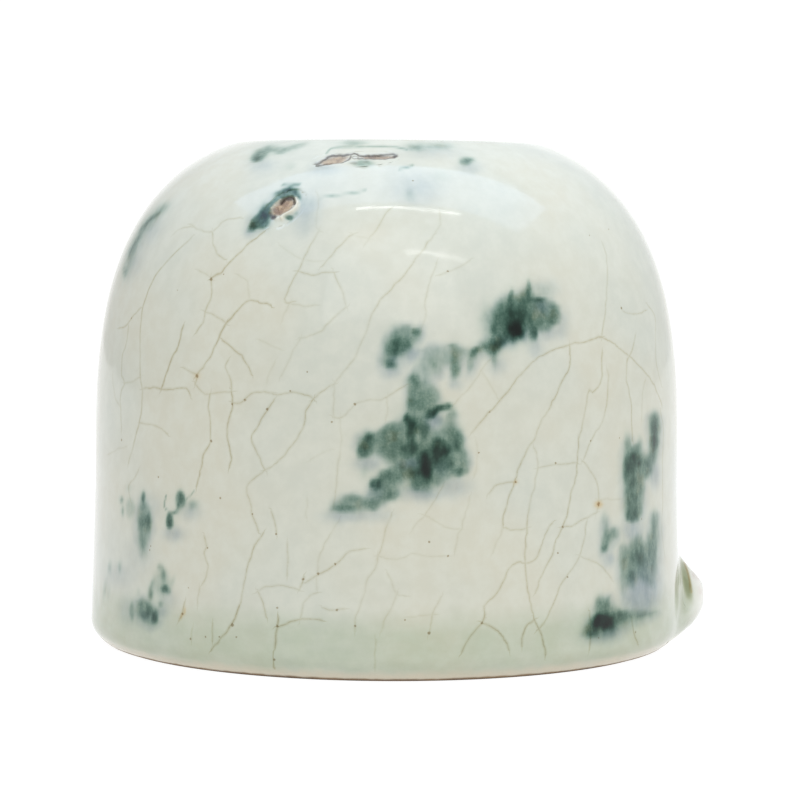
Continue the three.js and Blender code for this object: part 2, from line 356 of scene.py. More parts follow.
def turned_disc(name, section, columns, material, replaced):
    """A solid turned from an open section that starts and ends on the axis"""
    section = np.asarray(section, float)
    ring = turned(section[1:-1], np.arange(columns) * 360.0 / columns)
    rows = len(section) - 2
    points = np.concatenate([ring.reshape(-1, 3), [(0, 0, section[0, 1]), (0, 0, section[-1, 1])]])
    faces = grid_faces(columns, rows, True, False).tolist()
    first, last = columns * rows, columns * rows + 1
    for i in range(columns):
        right = (i + 1) % columns
        faces.append([first, right * rows, i * rows])
        faces.append([i * rows + rows - 1, right * rows + rows - 1, last])
    return made_piece(name, points, faces, material, replaced)


def closed_patch(top, back):
    """Points and faces of a thin closed piece between two grids of the same shape"""
    columns, rows = top.shape[:2]
    front = grid_faces(columns, rows, False, False)
    behind = front[:, ::-1] + columns * rows
    rim = [i * rows for i in range(columns)]
    rim += [(columns - 1) * rows + j for j in range(1, rows)]
    rim += [i * rows + rows - 1 for i in range(columns - 2, -1, -1)]
    rim += [j for j in range(rows - 2, 0, -1)]
    rim = np.array(rim)
    following = np.roll(rim, -1)
    sides = np.stack([following, rim, rim + columns * rows, following + columns * rows], axis=1)
    points = np.concatenate([top.reshape(-1, 3), back.reshape(-1, 3)])
    return points, np.concatenate([front, behind, sides])


# The camera, and where a pixel of the photograph lies on the pot

def camera_axes():
    """Right, up and forward of the camera"""
    cos_pitch, sin_pitch = math.cos(CAMERA_PITCH), math.sin(CAMERA_PITCH)
    cos_yaw, sin_yaw = math.cos(CAMERA_YAW), math.sin(CAMERA_YAW)
    forward = np.array([sin_yaw * cos_pitch, cos_yaw * cos_pitch, -sin_pitch])
    level = np.array([cos_yaw, -sin_yaw, 0.0])
    raised = np.cross(level, forward)
    right = math.cos(CAMERA_ROLL) * level + math.sin(CAMERA_ROLL) * raised
    up = math.cos(CAMERA_ROLL) * raised - math.sin(CAMERA_ROLL) * level
    return right, up, forward


EYE = np.array([0.0, -CAMERA_AWAY, CAMERA_HEIGHT])
FOCAL = LENS / SENSOR * PHOTO


def seen_at(x, y):
    """The point of the outer surface that the photograph shows at this pixel"""
    right, up, forward = camera_axes()
    ray = forward + right * (x - PHOTO / 2) / FOCAL - up * (y - PHOTO / 2) / FOCAL
    along = np.linspace(*RAY)[:, None]
    points = EYE + along * ray
    outside = np.hypot(points[:, 0], points[:, 1]) - outer_radius(points[:, 2])
    hit = np.argmax(outside < 0) if np.any(outside < 0) else np.argmin(outside)
    point = points[hit]
    height = min(max(point[2], 0.0), POT_HEIGHT)
    azimuth = math.degrees(math.atan2(point[0], -point[1]))
    return placed(azimuth, outer_radius(height), height)


def pixels_of(points, normals):
    """Where the photograph shows these points, across and down, and how squarely they face the camera"""
    right, up, forward = camera_axes()
    offset = points - EYE
    depth = offset @ forward
    across = PHOTO / 2 + FOCAL * (offset @ right) / depth
    down = PHOTO / 2 - FOCAL * (offset @ up) / depth
    facing = -(normals * offset).sum(1) / np.linalg.norm(offset, axis=1)
    return across, down, facing


def make_camera():
    right, up, forward = camera_axes()
    camera = linked(bpy.data.objects.new("camera", bpy.data.cameras.new("camera")))
    camera.data.lens = LENS
    camera.data.sensor_width = SENSOR
    camera.data.clip_start = 0.01
    turn = Matrix((right, up, -forward)).transposed().to_4x4()
    camera.matrix_world = Matrix.Translation(Vector(EYE * MM) + Vector((AXIS_X, 0.0, 0.0))) @ turn
    bpy.context.scene.camera = camera


# Crackle lines of the glaze, each a strength and the photograph's pixels that it runs through

SEAM_CRACKS = (
    (0.9, (142, 389), (150, 388), (155, 387), (161, 389), (172, 389), (186, 388), (190, 395)),
    (0.7, (195, 384), (204, 394), (211, 394), (222, 392), (232, 392)),
    (0.8, (233, 403), (240, 403), (245, 400), (251, 393), (265, 392), (272, 393)),
    (0.8, (265, 392), (278, 395), (290, 392), (300, 394), (308, 396), (313, 399)),
    (0.7, (313, 399), (319, 394), (326, 388), (334, 384)),
    (0.6, (140, 377), (133, 381), (124, 383)),
)

LEFT_CRACKS = (
    (0.8, (191, 237), (176, 252), (159, 270), (149, 288), (142, 310), (140, 335), (140, 378)),
    (0.8, (140, 378), (142, 398), (139, 420), (134, 441), (128, 463)),
    (1.0, (183, 326), (178, 345), (172, 358), (166, 375), (161, 389)),
    (0.8, (211, 278), (212, 290), (207, 305), (202, 322), (196, 332)),
    (1.0, (264, 231), (251, 241), (238, 254), (226, 265), (221, 272), (211, 278)),
    (0.5, (212, 232), (213, 243), (217, 253), (224, 259)),
    (0.4, (190, 224), (200, 230), (212, 231), (222, 221), (240, 217)),
    (1.0, (226, 323), (237, 311), (245, 302), (250, 300), (262, 303), (270, 305)),
    (1.0, (226, 323), (221, 333), (216, 344), (209, 358), (203, 367), (196, 376)),
    (0.5, (204, 311), (215, 316), (226, 323)),
    (0.7, (222, 340), (232, 347), (241, 356), (247, 364), (251, 374)),
    (0.7, (228, 360), (225, 366), (230, 378), (231, 392)),
    (0.9, (231, 392), (233, 402), (231, 412), (228, 425), (227, 437), (230, 450), (231, 459), (229, 468)),
    (0.9, (210, 394), (208, 408), (210, 417), (210, 441), (204, 455), (200, 470), (196, 487)),
    (0.6, (184, 368), (193, 374), (197, 377), (195, 384)),
    (0.6, (140, 308), (131, 318), (126, 326), (118, 328)),
    (0.5, (128, 328), (126, 345), (122, 355), (121, 375), (124, 383), (120, 396), (121, 430)),
    (0.5, (140, 423), (152, 425), (160, 428), (167, 434)),
    (0.4, (138, 470), (133, 479), (128, 487), (130, 500)),
    (0.3, (107, 455), (120, 448), (126, 446)),
    (0.4, (191, 226), (180, 228), (173, 234)),
    (0.35, (112, 376), (114, 396), (120, 407)),
    (0.3, (198, 270), (205, 273), (211, 278)),
    (0.3, (238, 275), (248, 280), (249, 297)),
)

LEFT_FOOT_CRACKS = (
    (0.8, (204, 537), (206, 547), (203, 554), (207, 565), (206, 576), (202, 584)),
    (0.5, (199, 588), (197, 605)),
    (0.9, (274, 400), (267, 410), (259, 424), (251, 437), (257, 453), (265, 470)),
    (0.8, (265, 470), (255, 478), (246, 488), (249, 500), (252, 514), (258, 531)),
    (1.0, (313, 399), (306, 413), (303, 428), (293, 444), (284, 455), (274, 465), (265, 470)),
    (0.9, (263, 533), (255, 546), (249, 562), (245, 576), (243, 590), (239, 606)),
    (1.3, (239, 606), (234, 618), (229, 628), (221, 638), (211, 650)),
    (0.6, (271, 512), (275, 522), (276, 534)),
    (0.5, (287, 543), (288, 562), (287, 576)),
    (0.4, (307, 500), (306, 517)),
    (0.5, (256, 592), (264, 588), (276, 586), (290, 587), (299, 590)),
    (0.9, (300, 588), (304, 577)),
    (0.9, (306, 582), (318, 575), (328, 569), (335, 565), (342, 557), (350, 551), (365, 549)),
    (0.6, (258, 592), (262, 602), (266, 617)),
    (1.3, (278, 617), (277, 628), (275, 642), (274, 669)),
    (1.0, (277, 627), (285, 624), (296, 620), (308, 619), (321, 620)),
    (0.6, (317, 593), (309, 597), (304, 603), (302, 612), (299, 621)),
    (0.5, (324, 608), (336, 610), (344, 609)),
    (0.9, (184, 602), (182, 613), (178, 621)),
    (0.9, (212, 624), (212, 641)),
    (0.7, (192, 628), (191, 640)),
)

TOP_CRACKS = (
    (0.5, (317, 192), (318, 210), (316, 222), (319, 230)),
    (1.0, (319, 230), (313, 241), (305, 257), (298, 271), (290, 285), (285, 297), (285, 302), (291, 302)),
    (0.9, (298, 271), (308, 274), (315, 275), (328, 272), (334, 272)),
    (0.8, (334, 272), (338, 282), (343, 293), (346, 306)),
    (0.9, (353, 234), (345, 240), (337, 248), (330, 256), (322, 266)),
    (0.4, (353, 234), (362, 237), (368, 238)),
    (0.7, (391, 208), (383, 217), (378, 227), (370, 237), (365, 244)),
    (0.6, (440, 211), (441, 224), (434, 235)),
    (0.9, (434, 235), (425, 247), (412, 263), (400, 279), (390, 291), (380, 300)),
    (0.9, (380, 300), (372, 315), (364, 337), (356, 354), (346, 370), (334, 384)),
    (0.7, (437, 262), (432, 276), (428, 290), (425, 305), (425, 318), (421, 330)),
    (0.8, (346, 307), (338, 314), (330, 322), (322, 330), (313, 335), (300, 338)),
    (0.8, (300, 338), (293, 350), (288, 362), (281, 376)),
    (0.5, (294, 304), (304, 306), (315, 305)),
    (0.5, (290, 303), (286, 311), (282, 320)),
    (0.4, (260, 340), (270, 345), (280, 349)),
    (0.5, (275, 362), (270, 372), (267, 382)),
    (0.3, (280, 245), (290, 252), (301, 259), (320, 261)),
    (0.7, (440, 275), (448, 271), (458, 268), (470, 260)),
)

FRONT_CRACKS = (
    (0.8, (334, 384), (334, 400), (334, 417)),
    (0.9, (334, 417), (340, 418), (349, 411), (356, 404), (366, 401), (386, 398), (395, 392), (405, 386)),
    (0.5, (387, 397), (388, 410), (386, 418)),
    (0.6, (340, 418), (341, 440), (340, 455)),
    (0.8, (340, 455), (337, 470), (336, 485), (333, 506)),
    (0.4, (310, 460), (320, 454), (333, 449)),
    (0.7, (339, 520), (330, 535), (324, 545), (320, 554), (317, 570), (317, 590)),
    (0.8, (392, 514), (386, 530), (382, 546), (378, 556)),
    (0.8, (378, 556), (375, 569), (368, 578), (365, 592), (360, 604), (356, 618), (355, 631)),
    (0.5, (378, 556), (390, 559), (403, 558), (410, 554), (428, 556), (448, 556)),
    (0.6, (388, 574), (393, 585), (397, 594), (405, 596)),
    (0.7, (397, 594), (392, 607), (386, 617), (381, 632)),
    (0.6, (410, 617), (420, 615), (434, 614)),
    (0.8, (441, 597), (436, 606), (432, 614), (431, 625), (429, 634)),
    (0.6, (443, 486), (436, 498), (430, 508), (423, 516), (412, 530)),
    (0.5, (423, 515), (435, 521), (445, 527), (460, 529)),
    (0.7, (470, 497), (466, 512), (461, 528), (455, 551)),
    (0.4, (483, 373), (490, 385), (498, 399)),
    (0.6, (490, 360), (480, 372), (472, 385), (462, 396), (455, 404)),
    (0.9, (376, 640), (375, 668)),
    (0.6, (476, 440), (478, 456), (474, 476)),
)

RIGHT_CRACKS = (
    (0.7, (603, 243), (607, 257), (608, 272), (607, 292), (606, 310), (602, 337)),
    (0.9, (602, 337), (590, 340), (575, 344), (560, 347), (545, 354), (535, 360), (525, 370)),
    (0.9, (525, 370), (515, 382), (505, 395), (497, 405), (489, 412), (480, 423), (472, 433)),
    (0.8, (602, 337), (612, 342), (622, 350), (632, 358), (645, 372), (655, 386), (662, 404)),
    (1.0, (570, 345), (571, 358), (569, 370), (562, 382), (557, 393), (553, 402), (547, 412), (540, 425)),
    (1.0, (540, 425), (534, 440), (525, 455), (518, 470), (514, 483), (508, 500), (504, 515), (503, 524)),
    (0.8, (603, 352), (602, 375), (599, 386), (593, 392), (590, 390), (587, 402), (583, 422), (579, 440)),
    (1.0, (579, 440), (578, 460), (576, 478), (571, 495), (568, 512), (563, 527)),
    (0.8, (563, 527), (556, 540), (552, 555), (545, 568), (540, 582), (536, 592)),
    (0.7, (608, 370), (609, 386), (607, 405), (605, 416), (600, 428), (591, 441), (584, 459)),
    (0.8, (636, 335), (633, 350), (628, 360), (627, 375), (629, 390), (632, 405), (632, 422), (633, 440)),
    (0.4, (646, 380), (643, 395), (642, 420)),
    (0.5, (648, 305), (655, 315), (656, 330), (656, 345), (657, 365), (662, 385)),
    (0.6, (622, 308), (626, 312), (640, 314), (646, 310)),
    (0.8, (535, 448), (538, 458), (538, 468), (535, 485), (531, 500), (528, 515), (527, 528)),
    (0.9, (527, 528), (526, 545), (525, 560), (526, 575), (528, 590), (531, 605), (535, 620)),
    (1.3, (535, 620), (539, 630), (543, 640), (546, 655)),
    (0.7, (538, 468), (548, 466), (558, 464), (578, 463)),
    (0.7, (514, 482), (503, 483), (495, 486), (489, 494)),
    (0.7, (584, 462), (590, 470), (596, 480), (599, 492), (599, 503), (597, 513)),
    (0.8, (597, 513), (590, 516), (580, 521), (572, 527), (563, 527)),
    (0.6, (527, 528), (516, 530), (506, 528)),
    (0.8, (553, 523), (548, 530), (543, 543), (539, 555), (533, 561), (526, 563)),
    (0.9, (526, 563), (520, 562), (511, 567), (505, 577), (500, 588), (493, 598), (487, 603), (485, 613)),
    (1.3, (485, 613), (482, 623), (474, 632), (467, 642), (462, 652)),
    (1.3, (482, 623), (492, 628), (503, 637), (509, 650)),
    (1.3, (535, 620), (528, 625), (524, 632), (522, 646)),
    (0.9, (587, 522), (585, 535), (583, 545), (580, 556), (573, 568), (566, 578)),
    (1.1, (566, 578), (560, 586), (556, 598), (551, 610), (545, 621), (538, 630)),
    (0.6, (580, 556), (590, 560), (600, 565), (606, 571), (612, 579)),
    (0.4, (503, 524), (500, 535), (495, 547), (493, 553)),
    (0.4, (599, 500), (608, 500), (620, 499)),
    (0.6, (661, 412), (664, 430), (663, 460), (663, 500), (662, 530), (665, 555)),
    (1.1, (590, 614), (591, 630), (590, 649)),
    (1.1, (632, 617), (634, 632), (638, 643)),
)

# The groups of lines, each with how strongly it is drawn
CRACK_GROUPS = (
    (1.0, SEAM_CRACKS), (1.3, LEFT_CRACKS), (1.1, LEFT_FOOT_CRACKS),
    (0.72, TOP_CRACKS), (0.62, FRONT_CRACKS), (0.95, RIGHT_CRACKS),
)
CRACK_LAYERS = 8
CRACK_REACH = 2.4  # how far from a line its distance is kept
CRACK_CLEAR = 3.2  # lines of one layer stay this far apart
CRACK_STEP = 1.3
CRACK_JITTER = 0.085
CRACK_SEED = 11
NOWHERE = 9.0

# Pinholes and brown specks: the photograph's pixel and the half width of the mark in millimetres
SPECKS = (
    (332, 422, 0.24), (355, 404, 0.26), (290, 391, 0.2), (307, 372, 0.17), (197, 376, 0.36),
    (211, 279, 0.36), (223, 274, 0.16), (158, 477, 0.22), (150, 546, 0.17), (149, 550, 0.18),
    (207, 548, 0.18), (220, 498, 0.22), (177, 290, 0.15), (276, 534, 0.2), (318, 574, 0.28),
    (335, 564, 0.24), (303, 579, 0.26), (277, 608, 0.22), (337, 610, 0.26), (355, 626, 0.25),
    (429, 633, 0.3), (448, 556, 0.22), (429, 542, 0.22), (405, 620, 0.18), (599, 504, 0.42),
    (563, 527, 0.28), (558, 553, 0.2), (591, 441, 0.18), (568, 577, 0.18), (479, 453, 0.18),
    (622, 308, 0.26), (609, 229, 0.15), (590, 235, 0.15), (620, 438, 0.15), (448, 271, 0.2),
    (490, 412, 0.18), (642, 519, 0.2), (556, 463, 0.22), (482, 623, 0.26), (277, 626, 0.3),
    (232, 625, 0.34), (182, 614, 0.26), (516, 482, 0.22), (188, 588, 0.17), (211, 441, 0.26),
    (232, 404, 0.24), (245, 400, 0.26), (252, 514, 0.2), (121, 440, 0.26), (267, 409, 0.26),
    (131, 318, 0.2), (236, 637, 0.2), (205, 637, 0.2), (219, 637, 0.2), (636, 632, 0.24), (599, 638, 0.2),
    (652, 441, 0.18), (413, 180, 0.22), (190, 639, 0.24), (274, 660, 0.24),
)
SPECK_LAYERS = 3
SPECK_REACH = 1.6

# Blue-green splashes, each a handful of soft spots seen from the camera: the photograph's pixel, half
# width and half height in pixels, tilt in degrees anticlockwise, how dark, and for some how firm it is
SPLASHES = {
    "middle_spot": (
        (398, 346, 10.5, 10, 10, 0.5, 1.6), (394, 348, 5.5, 7, 0, 0.24), (398, 353, 6, 4, 0, 0.25),
        (399, 342, 7, 4, 0, 0.15), (405, 346, 4, 7, 0, 0.15), (397, 329, 7, 6, 0, 0.22),
        (386, 345, 4, 10, 0, 0.15), (416, 331, 4.2, 3.8, 0, 0.55, 1.5), (415, 337, 4, 4, 0, 0.25),
        (410, 343, 6, 5, 20, 0.35), (388, 363.5, 4.5, 4.5, -25, 0.5, 1.5), (393, 365, 4, 4, 0, 0.3),
        (383, 359, 4, 3, 0, 0.2),
    ),
    "upper_right": (
        (511, 318, 16, 19, 0, 0.62, 2.2), (514, 321, 11, 14, -5, 0.6, 1.6),
        (516, 331, 8, 7.5, 10, 0.85, 1.5), (517, 332.5, 5.5, 5, 0, 0.6), (498, 325, 6, 12, 5, 0.3),
        (494, 331, 3.5, 5, 0, 0.4), (525, 309, 4.5, 9, 10, 0.5), (511, 296, 2.2, 6, -5, 0.5, 1.5),
        (529, 291, 2.6, 9, 0, 0.55, 1.5), (524, 300, 6, 4, 0, 0.3), (538.5, 300, 7.5, 3, 3, 0.6, 1.8),
        (545, 289, 9, 6, 0, 0.2), (531, 322, 3, 13, 0, 0.45, 1.6), (534.5, 333, 3.6, 7, -5, 0.6, 1.6),
        (543, 320, 9, 6, 15, 0.42, 1.8), (555, 312, 6, 9, 0, 0.42, 2.2),
        (555, 322, 5.5, 3.2, 20, 0.42, 1.8), (537, 309, 5, 5, 0, 0.25), (486, 320, 6, 14, 0, 0.2),
        (497, 342, 9, 6, 25, 0.5), (505, 340, 7, 4, 20, 0.35),
    ),
    "link": (
        (492, 347, 8, 7, 0, 0.55, 1.5), (483, 346, 4, 4, 0, 0.35), (494, 358, 3.5, 8, 0, 0.3),
        (476, 350, 5, 3, 5, 0.5, 1.5), (473, 354, 4.5, 4, 0, 0.45), (470.5, 364, 3.2, 8, 0, 0.32, 1.6),
        (461, 351, 6, 4, 0, 0.25), (452, 346, 5, 2.5, -15, 0.35), (455, 363, 4.5, 13, 0, 0.42, 1.8),
        (456, 372, 3.8, 5, 0, 0.3), (441, 358, 11, 8, 10, 0.2, 1.6), (434.5, 366, 3, 5, 0, 0.3),
        (424, 350, 6, 2, 20, 0.15), (425, 364, 11, 7, 25, 0.22, 1.6),
    ),
    "column": (
        (413, 380, 5, 4.5, 0, 0.4), (416, 392, 8, 17, 0, 0.4, 2.4), (433, 396, 8, 9, 0, 0.32, 2.2),
        (428, 400, 9, 13, 0, 0.2, 2.0), (420, 408, 9, 7, 0, 0.45), (410, 405, 3, 8, 0, 0.3),
    ),
    "arc": (
        (431, 414, 5.5, 5, 35, 0.85, 1.6), (437.5, 408.5, 5, 3, 25, 0.8, 1.6),
        (446, 406.5, 5.5, 2.8, 5, 0.6, 1.4), (452, 413, 4, 5, 0, 0.3), (448, 418, 8, 4, 20, 0.15),
    ),
    "mass": (
        (366, 445, 8, 11, -20, 0.5, 2.0), (362, 450, 4.5, 8, -10, 0.5, 1.6),
        (369, 436.5, 5, 3.5, 20, 0.5, 1.5), (380, 440, 9, 9, 0, 0.3, 1.8), (391, 446, 10, 17, 0, 0.45, 2.4),
        (388, 428, 9, 4, 25, 0.4, 1.6), (400, 440, 6, 15, 0, 0.35), (407, 419, 3, 5, -10, 0.7, 1.5),
        (411, 432, 4.5, 14, 0, 0.78, 1.8), (432, 460, 9, 9, -30, 0.55), (438, 452, 8, 7, 10, 0.5),
        (424, 473, 7, 9, -10, 0.5), (419, 483, 7, 3.5, 10, 0.35), (418, 425, 8, 8, 0, 0.5, 1.8),
        (425, 432, 5, 7, -20, 0.6, 1.5), (409, 451, 8, 7, 0, 0.75, 1.8), (417, 446, 4, 6, -30, 0.5),
        (440, 449, 9, 9.5, 0, 0.72, 2.2), (446, 451, 4.5, 7, 0, 0.5, 1.5), (439, 440, 6, 2.5, -5, 0.4, 1.5),
        (428, 444, 5, 5, 0, 0.3), (425, 465, 7, 17, 8, 0.72, 2.0), (426, 468, 4.5, 12, 5, 0.6, 1.5),
        (415, 475, 6, 8, 0, 0.6, 1.5), (435, 460, 7, 6, 10, 0.5), (444, 467, 6, 9, 0, 0.4),
        (456, 440, 8, 11, 0, 0.45, 2.0), (458, 442, 4, 7, 0, 0.35), (450, 427, 9, 6, 0, 0.28),
        (458, 460, 10, 15, 0, 0.32, 2.2), (460, 472, 8, 4.5, 10, 0.42, 1.8), (452, 466, 3, 8, 0, 0.3),
        (437, 482, 8, 5, 20, 0.3), (420, 487, 10, 4.5, 0, 0.4), (375.5, 484.5, 5.5, 5, 35, 0.75, 1.6),
        (384, 475, 6.5, 5, 40, 0.45, 1.5), (398, 474, 14, 8, 8, 0.38, 1.8), (392, 486, 12, 12, 0, 0.3, 1.6),
        (391, 496, 6.5, 4.5, 10, 0.38, 1.5), (402, 466, 9, 5, 5, 0.2), (364, 472, 5, 7, -30, 0.15),
        (374, 495, 6, 8, 0, 0.15),
    ),
    "tail": (
        (352, 503, 18, 7.5, 3, 0.34, 2.2), (346, 509, 10, 3.5, 0, 0.35, 1.5), (352, 497.5, 9, 3, 5, 0.2),
        (371, 506, 6.5, 5.5, 30, 0.42, 1.6), (381, 500, 6, 5, 25, 0.3), (336, 508, 5, 5, 0, 0.2),
    ),
    "right_top": (
        (655, 418, 4, 6, 0, 0.4), (655, 428, 4.5, 8, 0, 0.7), (654.5, 441, 3.8, 7, 0, 0.85, 1.5),
        (654, 452, 3.5, 7, -8, 0.5), (648, 462, 7, 6, 20, 0.35), (650, 470, 4, 8, 0, 0.25),
    ),
    "right_long": (
        (633, 462, 8, 10, 0, 0.6, 2.2), (634, 460, 6, 7, 0, 0.5, 1.5), (631, 475, 6, 10, 0, 0.5, 1.6),
        (634, 488, 8, 10, 0, 0.45, 2.2), (633, 507, 8, 13, 0, 0.5, 2.4), (632, 516, 6, 6, 0, 0.4, 1.5),
        (628, 445, 3.5, 10, 0, 0.35), (626, 470, 2.5, 15, 0, 0.35), (640, 448, 2.5, 10, 0, 0.3),
        (644, 465, 3, 10, 0, 0.3),
    ),
    "right_small": (
        (606, 540, 4, 10, -5, 0.42, 1.8), (604, 549, 3.5, 4, 0, 0.35), (614, 533, 6, 6, 0, 0.32, 1.8),
        (605, 520, 3.5, 8, 0, 0.2), (614, 545, 4, 4, 0, 0.1),
    ),
    "right_middle": (
        (655, 522, 4, 12, 0, 0.35, 1.8), (653, 550, 4.5, 20, 0, 0.42, 1.8), (638, 555, 8, 14, 0, 0.42, 2.2),
        (637, 558, 5, 8, 0, 0.35), (633, 575, 4.5, 6, -10, 0.5, 1.5), (624, 558, 5, 14, 0, 0.32, 1.8),
        (624, 582, 5, 12, 0, 0.25), (646, 560, 5, 12, 0, 0.3),
    ),
    "right_low": (
        (603, 622, 11, 8, 5, 0.9, 2.2), (604, 623, 7, 4.5, 10, 0.8), (602, 620, 8, 7, 0, 0.9, 1.6),
        (591, 630, 7, 6, 25, 0.55, 1.8), (604, 606, 7, 8, 0, 0.45, 1.6), (600, 599, 4, 6, 0, 0.2),
        (619, 616, 9, 6, 5, 0.5, 1.8), (638, 614, 14, 4.5, 0, 0.3, 2.0), (612, 625, 8, 6, 10, 0.4),
        (598, 634, 12, 4, 0, 0.25), (632, 624, 10, 5, 0, 0.15),
    ),
    "left_tall": (
        (142.3, 497, 2, 5, 0, 0.5, 1.5), (143, 518, 6.5, 12, 0, 0.25, 2.2),
        (141, 521, 3.5, 8, 0, 0.36, 1.5), (147, 524, 3.5, 8, 0, 0.36, 1.5), (149, 518, 1.8, 9, 0, 0.3, 1.5),
        (142, 505, 3, 6, 0, 0.3), (141, 540, 4, 9, 0, 0.35), (143, 552, 4, 8, 0, 0.2),
    ),
    "left_faint": (
        (121, 500, 1.8, 3, 0, 0.4), (122, 511, 1.3, 5, 0, 0.35), (129.5, 508, 4.5, 10, 0, 0.25, 2.0),
        (128, 488, 3, 4, 0, 0.15), (109, 567, 1.6, 6, 0, 0.25), (119, 567, 1.6, 6, 0, 0.28),
        (104, 590, 1.6, 12, -8, 0.22), (108, 592, 1.4, 8, -6, 0.15),
    ),
    "left_pair": (
        (168.8, 521, 3.4, 7.5, 0, 0.72, 2.0), (168.8, 523, 2.2, 4, 0, 0.4), (173.5, 513, 3, 1.8, 15, 0.45),
        (180, 499, 4.6, 8, 0, 0.58, 2.0), (180, 498, 2.5, 4, 0, 0.3), (178, 507, 2, 5, -10, 0.35),
        (192.5, 505, 5, 5, 0, 0.3),
    ),
    "left_wedge": (
        (161, 583, 9, 14, 0, 0.22, 2.4), (159, 567, 2, 3, 0, 0.25), (162.5, 575, 2.2, 6, 10, 0.35),
        (164, 589, 3, 3.2, 0, 0.55, 1.5), (167.5, 592, 2.5, 2.5, 0, 0.35), (151, 585, 2, 6, -15, 0.25),
        (149.3, 594, 1.8, 5, 0, 0.25), (173, 580, 2, 5, -15, 0.15),
    ),
    "left_low": (
        (143, 609, 7.5, 9, 0, 0.26, 2.4), (149, 610, 4, 6, 0, 0.4, 1.5), (154, 618, 3.2, 6.5, 0, 0.58, 2.0),
        (141, 605, 3.5, 4, 0, 0.25), (145, 616, 5, 3, 0, 0.25), (150, 594, 2.5, 6, 0, 0.25),
        (131, 611, 2.4, 9, 0, 0.35, 1.8), (160, 604, 3, 3, 0, 0.3), (137.5, 592, 2, 4, 0, 0.15),
    ),
    "crown": (
        (259, 155, 8, 5.5, 20, 0.4, 2.0), (256.7, 157.7, 4.5, 3, 10, 0.45, 1.5),
        (268, 149, 7, 3.5, 15, 0.35), (281, 149.5, 9, 3, 5, 0.3), (297, 146, 10, 2.6, 15, 0.28),
        (280, 152.7, 3, 1.2, 0, 0.25), (290, 166, 6, 3, 10, 0.14), (354, 143, 13, 3, 0, 0.3),
        (415, 147, 11, 4, 0, 0.3), (417.5, 148, 3, 2, 0, 0.15), (440, 146, 12, 3.5, 0, 0.28),
        (465, 161, 6, 4, 0, 0.4, 1.8), (471, 159.5, 4, 2, 0, 0.35), (410, 194, 5, 5, 0, 0.22),
        (441, 175, 9, 5, 0, 0.12), (363, 163, 10, 3.2, 0, 0.36, 1.6),
    ),
    "shoulder": (
        (277, 193, 4, 2.2, 30, 0.4), (283.5, 190, 4.5, 2.4, 25, 0.6), (289.5, 189, 3.6, 2.3, 0, 0.85, 1.6),
        (295.5, 191.5, 3, 2.6, -35, 0.6), (299, 196.5, 2, 3.6, 15, 0.45), (286, 195.5, 8, 3.5, 15, 0.3),
        (265, 211, 5.5, 8, -10, 0.55, 2.2), (258, 220, 9, 6, 45, 0.5, 2.4), (265, 219, 6, 7, 0, 0.42, 2.2),
        (252, 225.5, 3.6, 5, -30, 0.6, 1.8), (262, 224, 6, 3, 15, 0.5, 1.6),
        (265, 211, 3.5, 5, -20, 0.45, 1.5), (288.7, 217.3, 4.6, 2.6, 10, 0.55, 2.0),
        (295.5, 213, 2.5, 2, 0, 0.2), (308, 202, 8, 5, 20, 0.12),
    ),
    "left_limb": (
        (162, 208, 8, 4.5, 38, 0.3), (149, 222, 6, 9, -38, 0.27), (154, 216, 1.6, 6, -48, 0.45),
        (143.5, 226, 1.6, 7, -38, 0.45), (137, 239, 1.6, 8, -30, 0.35), (131.5, 250, 2, 7, -22, 0.32),
        (136, 243, 5, 14, -28, 0.22), (128, 265, 4.5, 15, -14, 0.25), (124, 271, 1.4, 4, 0, 0.3),
    ),
}

# Thin strokes of the same colour: how dark, half width and the photograph's pixels
INK_LINES = (
    (0.4, 0.8, (165.6, 495), (164, 506), (167.5, 512)),
    (0.4, 0.8, (171, 514), (175, 512.5), (177.5, 505)),
    (0.32, 0.8, (185, 500), (194, 491)),
    (0.4, 0.8, (282, 183.6), (289, 183.2), (300, 184.4)),
    (0.34, 1.1, (326.7, 152.7), (333, 147.7), (357, 146.8), (390, 146.3), (407, 149.3)),
    (0.34, 1.3, (400, 168.5), (413, 165)),
    (0.3, 1.3, (320, 196.8), (350, 192.7), (365, 190)),
    (0.3, 0.8, (511, 303), (511, 290)),
)

